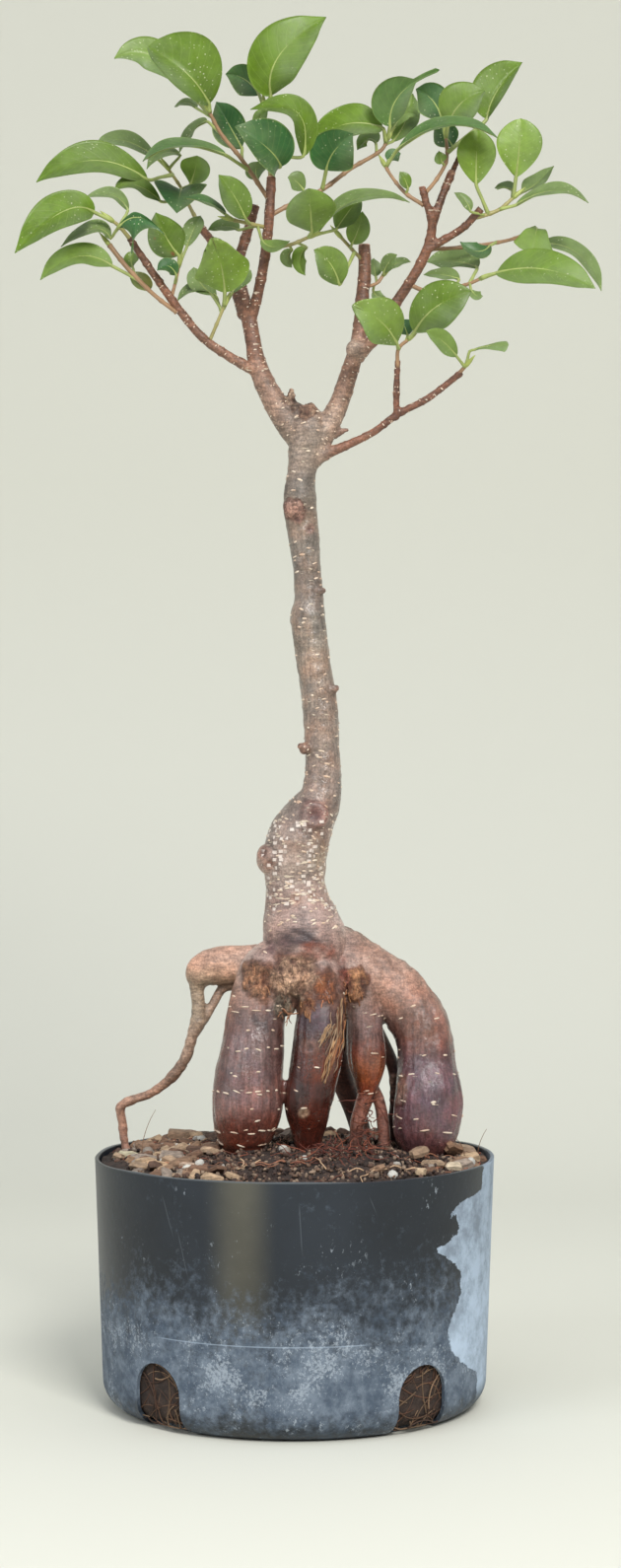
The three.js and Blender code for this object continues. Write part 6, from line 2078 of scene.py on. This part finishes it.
def spray_blades(name, spray, draws):
    pile = Pile()
    for number, (row, letter) in enumerate(zip(spray["leaves"], spray["tones"])):
        seed = draws.uniform(0, 6)
        points, faces, places = blade(row, seed, **OWN_FORM.get((name, number), {}))
        tone = linear(*LEAF_TONES_AND_PAINTED_LIGHT[letter]) * draws.uniform(0.88, 1.12)
        extra = (MARGINS[letter], float((name, number) in SPOTTED), 0.0)
        # The lower half of each blade gets a painted sky reflection
        halves = with_painted_sky_reflection(places, row, tone, draws.uniform(0.35, 0.8))
        pile.add(points, faces, blade=places, leaf_tone=halves, leaf_extra=extra)
    return pile


def add_sprays():
    draws = np.random.default_rng(LEAF_SEED)
    leaf_finish, stem_finish = leaf_material(), stem_material()
    for name, spray in SPRAYS.items():
        leaves = spray_blades(name, spray, draws).mesh("leaves_" + name)
        show("leaves_" + name, leaves, leaf_finish, "foliage", "spray_" + name)
        stems = spray_stems(spray, draws).mesh("stems_" + name)
        show("stems_" + name, stems, stem_finish, "foliage", "spray_" + name)


add_sprays()
print("sprays:", len(SPRAYS), "leaves:", sum(len(spray["leaves"]) for spray in SPRAYS.values()))

# %% [markdown]
# ## The soil
# The tree stands in a gritty mix: shreds of pine bark, white pumice, and a dark fine part that has sunk
# between them. The roots fill the pot so tightly that they show as a brown mat in the drain notches. The
# body of the mix is one turned shape with a rough top, and everything that lies on it is strewn by a rule.

# %% The body of the mix
SOIL_EDGE = 90.5
SOIL_MIDDLE = 96.0
SOIL_GAP = 0.35
SOIL_RADIUS = POT_RIM_RADIUS - POT_WALL - SOIL_GAP


def soil_height(radius):
    share = np.minimum(radius / (POT_RIM_RADIUS - 3), 1)
    return SOIL_MIDDLE + (SOIL_EDGE - SOIL_MIDDLE) * share * share


def soil_body():
    outline = tub_outline(POT_WALL + SOIL_GAP, SOIL_EDGE, 8, 40)
    for radius in np.linspace(SOIL_RADIUS - 0.5, 1.0, 62):
        outline.append((radius, float(soil_height(radius))))
    outline.append((0.0, SOIL_MIDDLE))
    points, faces = turned(outline, 220)
    radius = np.hypot(points[:, 0], points[:, 1])
    on_top = (points[:, 2] > SOIL_EDGE - 0.1) & (radius < SOIL_RADIUS - 0.4)
    rough = 1.1 * lumps(points, 7, 1) + 0.7 * lumps(points, 2.6, 2)
    points[:, 2] += np.where(on_top, rough, 0)
    inward = np.where(on_top | (points[:, 2] < 1.9), 0, 0.35 + 0.3 * lumps(points, 3, 3))
    points[:, :2] *= (1 - inward / np.maximum(radius, 10))[:, None]
    return one_mesh("potting_mix", points, faces)


def soil_material():
    wiring = Finish("dark_fines")
    broad, fine = wiring.noise(160.0, 5.0, 0.7), wiring.noise(900.0, 4.0, 0.7)
    colour = wiring.mix(wiring.step(broad, 0.3, 0.7), linear(34, 26, 23), linear(68, 53, 46))
    colour = wiring.mix(wiring.step(fine, 0.58, 0.78, 0.0, 0.45), colour, linear(118, 97, 84))
    normal = wiring.bump(wiring.plus(broad, fine), 0.8, 0.001)
    return wiring.finish(Base_Color=colour, Roughness=0.92, Normal=normal)


soil_piece = show("potting_mix", soil_body(), soil_material(), "potting_mix", "soil")
print("soil faces:", len(soil_piece.data.polygons))

# %% [markdown]
# ### Bark chips, pumice and crumbs
# A bark chip is a thin angular flake. It is drawn as an uneven ring, thickened and tilted, and shaded
# flat so its edges stay crisp. A pumice grain is a short fat tube pushed in and out by noise. Chips are
# strewn at random but not evenly: many lie left, right and behind, few in front, where water has washed
# the dark fines together. Nothing is laid where a root goes in.

# %% Shapes of the grains
def turn_matrix(tilt_x, tilt_y, turn):
    """Turns about x, then y, then z."""
    cx, sx, cy, sy = math.cos(tilt_x), math.sin(tilt_x), math.cos(tilt_y), math.sin(tilt_y)
    cz, sz = math.cos(turn), math.sin(turn)
    about_x = np.array([[1, 0, 0], [0, cx, -sx], [0, sx, cx]])
    about_y = np.array([[cy, 0, sy], [0, 1, 0], [-sy, 0, cy]])
    about_z = np.array([[cz, -sz, 0], [sz, cz, 0], [0, 0, 1]])
    return about_z @ about_y @ about_x


def flake(length, breadth, thickness, draws, sides=9):
    """An uneven flat ring, thickened: one chip of bark in two torn layers."""
    angles = (np.arange(sides) + draws.uniform(-0.3, 0.3, sides)) / sides * 2 * math.pi
    reach = draws.uniform(0.72, 1.08, sides)
    square = 1 / np.maximum(np.abs(np.cos(angles)), np.abs(np.sin(angles))) ** 0.6
    ring = np.column_stack([np.cos(angles) * length / 2, np.sin(angles) * breadth / 2])
    ring = ring * (reach * square)[:, None]
    levels = [(-0.5, 0.9), (-0.1, 1.0), (0.3, draws.uniform(0.8, 0.95)), (0.5, draws.uniform(0.6, 0.8))]
    rows = []
    for level, share in levels:
        jitter = draws.uniform(-0.06, 0.06, sides) * thickness
        shift = draws.uniform(-0.03, 0.03, 2) * length
        rows.append(np.column_stack([ring * share + shift, level * thickness + jitter]))
    points = np.vstack([*rows, [[0, 0, -thickness / 2]], [[0, 0, thickness * 0.55]]])
    return points, closed_faces(len(levels), sides)


def grain(size, draws, rings=7, sides=10, rough=0.16):
    """A rounded, pitted grain."""
    angles = np.linspace(-math.pi / 2, math.pi / 2, rings + 2)[1:-1]
    places = np.array([[0, 0, math.sin(a), math.cos(a)] for a in angles])
    points, faces = tube(places, sides)
    points = points * (1 + rough * lumps(points + draws.uniform(0, 50, 3), 0.7, 4))[:, None]
    return points * size / 2 * draws.uniform(0.75, 1.15, 3), faces


def small_grain(size, draws):
    points, faces = grain(size, draws, 3, 6, 0.45)
    return points * draws.uniform(0.55, 1.5, 3), faces


def laid(points, place, draws, tilt):
    turn = turn_matrix(draws.uniform(-tilt, tilt), draws.uniform(-tilt, tilt), draws.uniform(0, 2 * math.pi))
    return points @ turn.T + place


print("one chip has", len(flake(12, 7, 2.5, np.random.default_rng(1))[1]), "faces")

# %% Strewing
WASHED_AT, WASHED_HALF = 3.0, 40.0
# Larger pieces that can be told apart: x, z, depth, length, breadth, thickness, colour, tilt
LARGE_CHIPS = [
    [-42.3, 99, 45, 19, 14, 5, (140, 114, 92), 0.2], [-54.6, 95, 10, 13, 6, 3, (130, 104, 84), 0.5],
    [-50.8, 88.2, -32, 12, 5, 3, (190, 160, 128), 0.2], [-39.7, 87.5, -37, 9, 7, 3, (176, 152, 132), 0.3],
    [-34.9, 94.6, 0, 10, 7, 3, (128, 100, 80), 0.3], [-63, 92, -6, 9, 5, 3, (172, 164, 138), 0.2],
    [-60, 90, -20, 9, 5, 3, (140, 110, 84), 0.4],
    [60, 88, -33, 9, 6, 3, (190, 174, 150), 0.3], [47.5, 86, -47, 9, 5, 2.5, (192, 168, 138), 0.2],
    [59.5, 95, -8, 5, 12, 3, (128, 98, 76), 0.8], [66, 91, -10, 9, 6, 3, (178, 152, 122), 0.3],
    [63, 94, 12, 13, 7, 4, (150, 128, 108), 0.4], [47, 93.5, -26, 11, 6, 3, (140, 116, 94), 0.3],
]


def spots_on_soil(count, draws, clearance, thinned):
    """Places on the mix, away from the roots, thinned out in the washed patch in the middle."""
    found = []
    while len(found) < count:
        radius = (SOIL_RADIUS - 4) * np.sqrt(draws.uniform(0, 1, count))
        around = draws.uniform(0, 2 * math.pi, count)
        places = np.column_stack([radius * np.cos(around), radius * np.sin(around), soil_height(radius)])
        apart = limb_distances(places)[0].min(0)
        washed = np.exp(-((places[:, 0] - WASHED_AT) / WASHED_HALF) ** 4) * (places[:, 1] < 25)
        kept = (apart > clearance) & (draws.uniform(0, 1, count) > washed * thinned)
        found.extend(places[kept])
    return np.array(found[:count])


def strewn(count, size_range, draws, colours, shape, tilt, clearance, sink, thinned):
    """Grains that tilt, keep clear of the roots and sink in, fewer of them in the washed patch."""
    pile = Pile()
    for place in spots_on_soil(count, draws, clearance, thinned):
        size = draws.uniform(*size_range)
        points, faces = shape(size, draws)
        colour = linear(*colours[draws.integers(len(colours))]) * draws.uniform(0.8, 1.15)
        rise = size * sink + draws.uniform(-0.3, 0.6)
        pile.add(laid(points, place + np.array([0, 0, rise]), draws, tilt), faces, tint=colour)
    return pile


def chip_shape(size, draws):
    return flake(size, size * draws.uniform(0.4, 0.7), size * draws.uniform(0.16, 0.34), draws)


def add_large_chips(pile, draws):
    for x, z, depth, length, breadth, thickness, colour, tilt in LARGE_CHIPS:
        points, faces = flake(length, breadth, thickness, draws, 11)
        place = seen(x, z, depth)
        place[2] = max(place[2], float(soil_height(math.hypot(place[0], place[1]))))
        pile.add(laid(points, place, draws, tilt), faces, tint=linear(*colour))


print("large chips:", len(LARGE_CHIPS))

# %% All the grains
CHIP_COLOURS = [
    (158, 134, 110), (134, 106, 84), (112, 84, 66), (90, 68, 56), (142, 128, 116), (172, 146, 118),
]
PUMICE_COLOURS = [(186, 184, 176), (160, 154, 146), (140, 130, 120)]
CRUMB_COLOURS = [(72, 54, 46), (90, 68, 56), (52, 40, 36), (58, 44, 38), (112, 88, 72), (136, 116, 98)]
MIX_SEED = 8


def grain_material(name, contrast):
    wiring = Finish(name)
    layers = wiring.streaked((1, 1, 3), 420.0, 4.0, 0.65)
    shade = wiring.step(layers, 0.3, 0.72, 1 - contrast, 1 + contrast)
    colour = wiring.shaded(wiring.value_of("tint", "Color"), shade)
    return wiring.finish(Base_Color=colour, Roughness=0.85, Normal=wiring.bump(layers, 0.6, 0.0006))


def add_grains():
    draws = np.random.default_rng(MIX_SEED)
    lying = {"tilt": 0.5, "clearance": 2.5, "sink": 0.05, "thinned": 1.0}
    chips = strewn(200, (5, 13), draws, CHIP_COLOURS, chip_shape, **lying)
    add_large_chips(chips, draws)
    rolled = {"tilt": 3.0, "clearance": 1.5, "sink": 0.12, "thinned": 0.8}
    pumice = strewn(80, (1.8, 4.4), draws, PUMICE_COLOURS, grain, **rolled)
    fallen_in = {"tilt": 3.0, "clearance": 0.6, "sink": 0.25, "thinned": 0.0}
    crumbs = strewn(3600, (0.5, 2.0), draws, CRUMB_COLOURS, small_grain, **fallen_in)
    chip_mesh = chips.mesh("bark_chips")
    chip_mesh.shade_flat()
    show("bark_chips", chip_mesh, grain_material("torn_bark", 0.35), "potting_mix")
    show("pumice", pumice.mesh("pumice"), grain_material("chalky_pumice", 0.15), "potting_mix")
    show("crumbs", crumbs.mesh("crumbs"), grain_material("soil_crumbs", 0.3), "potting_mix")


add_grains()
print("grains strewn")

# %% [markdown]
# ### Fine roots
# A healthy ficus sends hair roots everywhere: over the soil, up out of it at the sides, and pressed flat
# against the pot in the notches. Each is a thin tube on a wandering path.

# %% Roots over the mix
FINE_ROOT_COLOURS = [(130, 76, 58), (104, 62, 48), (150, 102, 78), (190, 158, 126)]


def wandering(start, heading, length, draws, follow, radius):
    """Places of one fine root: it keeps its heading, wanders a little and keeps to the surface."""
    places = []
    place = np.array(start, float)
    step = length / 14
    for number in range(15):
        taper = 1 - 0.5 * number / 14
        places.append([*follow(place), radius * taper])
        heading += draws.uniform(-0.4, 0.4)
        place = place + step * np.array([math.cos(heading), math.sin(heading), 0])
    return np.array(places)


def on_the_mix(place):
    radius = min(math.hypot(place[0], place[1]), SOIL_RADIUS - 2)
    around = math.atan2(place[1], place[0])
    lift = 0.5 * math.sin(place[0] * 0.9) + 0.9
    return [radius * math.cos(around), radius * math.sin(around), float(soil_height(radius)) + lift]


def surface_roots(pile, draws, count=95):
    for _ in range(count):
        radius = (SOIL_RADIUS - 8) * math.sqrt(draws.uniform())
        around = draws.uniform(0, 2 * math.pi)
        start = [radius * math.cos(around), radius * math.sin(around), 0]
        length, thickness = draws.uniform(8, 30), draws.uniform(0.16, 0.42)
        path = wandering(start, draws.uniform(0, 6.3), length, draws, on_the_mix, thickness)
        colour = linear(*FINE_ROOT_COLOURS[draws.integers(4)])
        pile.add(*tube(smooth_path(path, 1.2), 6), tint=colour)


sample_root = wandering([20, 0, 0], 0.5, 20, np.random.default_rng(1), on_the_mix, 0.3)
print("a root over the mix rises to", sample_root[:, 2].max().round(1), "mm")

# %% Knots, hairs and the mats in the notches
ROOT_SEED = 14
TANGLE_COLOURS = [(104, 54, 42), (82, 44, 36), (128, 72, 52)]
NOTCH_COLOURS = [(110, 80, 60), (92, 62, 46), (74, 52, 40), (134, 108, 84)]
# Knots of rootlets: middle, spread, count
TANGLES = [
    ((18.0, -26.0, 97.0), (8.0, 8.0, 1.6), 42), ((27.5, -13.0, 106.0), (2.4, 2.4, 7.0), 28),
    ((8.0, -30.0, 96.0), (5.0, 6.0, 1.2), 12),
]
# Hairs that stand up: x, depth, lean, height
HAIRS = [(-57.6, -12, 0.3, 17), (69, 4, 0.35, 10), (64, -14, -0.5, 7), (60, 8, 0.2, 6)]


def tangle(pile, draws, middle, spread, count):
    """A reddish knot of rootlets, as in front of the third leg's neck."""
    for _ in range(count):
        place = np.array(middle) + draws.normal(0, 1, 3) * np.array(spread)
        heading = draws.uniform(-1, 1, 3) * [1, 1, 0.6]
        rows = curled(place, heading, 1.0, 0.26 - np.arange(10) * 0.016, draws, 0.6)
        ground = soil_height(np.hypot(rows[:, 0], rows[:, 1])) + 0.4
        rows[:, 2] = np.maximum(rows[:, 2], ground)
        colour = linear(*TANGLE_COLOURS[draws.integers(3)])
        pile.add(*tube(smooth_path(rows, 1.2), 5), tint=colour)


def standing_hairs(pile):
    """Hair roots that stick up out of the mix at its two sides."""
    for x, depth, lean, tall in HAIRS:
        base = seen(x, 92, depth)
        rows = []
        for share in np.linspace(0, 1, 6):
            bend = lean * tall * share * share
            rows.append([base[0] + bend, base[1] + bend * 0.3, base[2] + tall * share, 0.17 - share * 0.08])
        pile.add(*tube(smooth_path(rows, 1.5), 5), tint=linear(128, 98, 76))


def notch_mat(pile, draws, count=46):
    """The mat of roots that shows in each notch, pressed against the pot."""
    for angle in NOTCH_ANGLES:
        for _ in range(count):
            rows = []
            across, height = draws.uniform(-12, 12), draws.uniform(2, 24)
            heading, bend = draws.uniform(0, 6.3), draws.uniform(-0.22, 0.22)
            depth, thick = draws.uniform(0.15, 0.8), draws.uniform(0.14, 0.3)
            for _ in range(12):
                around = math.radians(angle) + across / 70
                rounding = max(0, POT_CORNER - height) ** 2 / 30
                radius = side_radius(max(height, POT_CORNER)) - POT_WALL - depth - rounding
                rows.append([radius * math.sin(around), -radius * math.cos(around), height, thick])
                across = np.clip(across + 1.5 * math.cos(heading), -13, 13)
                height = np.clip(height + 1.5 * math.sin(heading), 2.2, 26)
                heading += bend
            colour = linear(*NOTCH_COLOURS[draws.integers(4)]) * draws.uniform(0.5, 1.0)
            rows = [row for n, row in enumerate(rows) if n == 0 or row[:3] != rows[n - 1][:3]]
            if len(rows) > 3:
                pile.add(*tube(smooth_path(rows, 1.2), 6), tint=colour)


def add_fine_roots():
    draws = np.random.default_rng(ROOT_SEED)
    pile = Pile()
    surface_roots(pile, draws)
    for middle, spread, count in TANGLES:
        tangle(pile, draws, middle, spread, count)
    standing_hairs(pile)
    notch_mat(pile, draws)
    return show("fine_roots", pile.mesh("fine_roots"), grain_material("hair_roots", 0.2), "bark")


print("fine root faces:", len(add_fine_roots().data.polygons))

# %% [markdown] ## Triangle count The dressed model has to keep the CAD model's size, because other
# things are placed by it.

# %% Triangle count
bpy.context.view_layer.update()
triangles = {piece.name: sum(len(face.vertices) - 2 for face in piece.data.polygons) for piece in PIECES}
largest = max(triangles, key=triangles.get)
print("triangles:", sum(triangles.values()), "largest piece:", largest, triangles[largest])
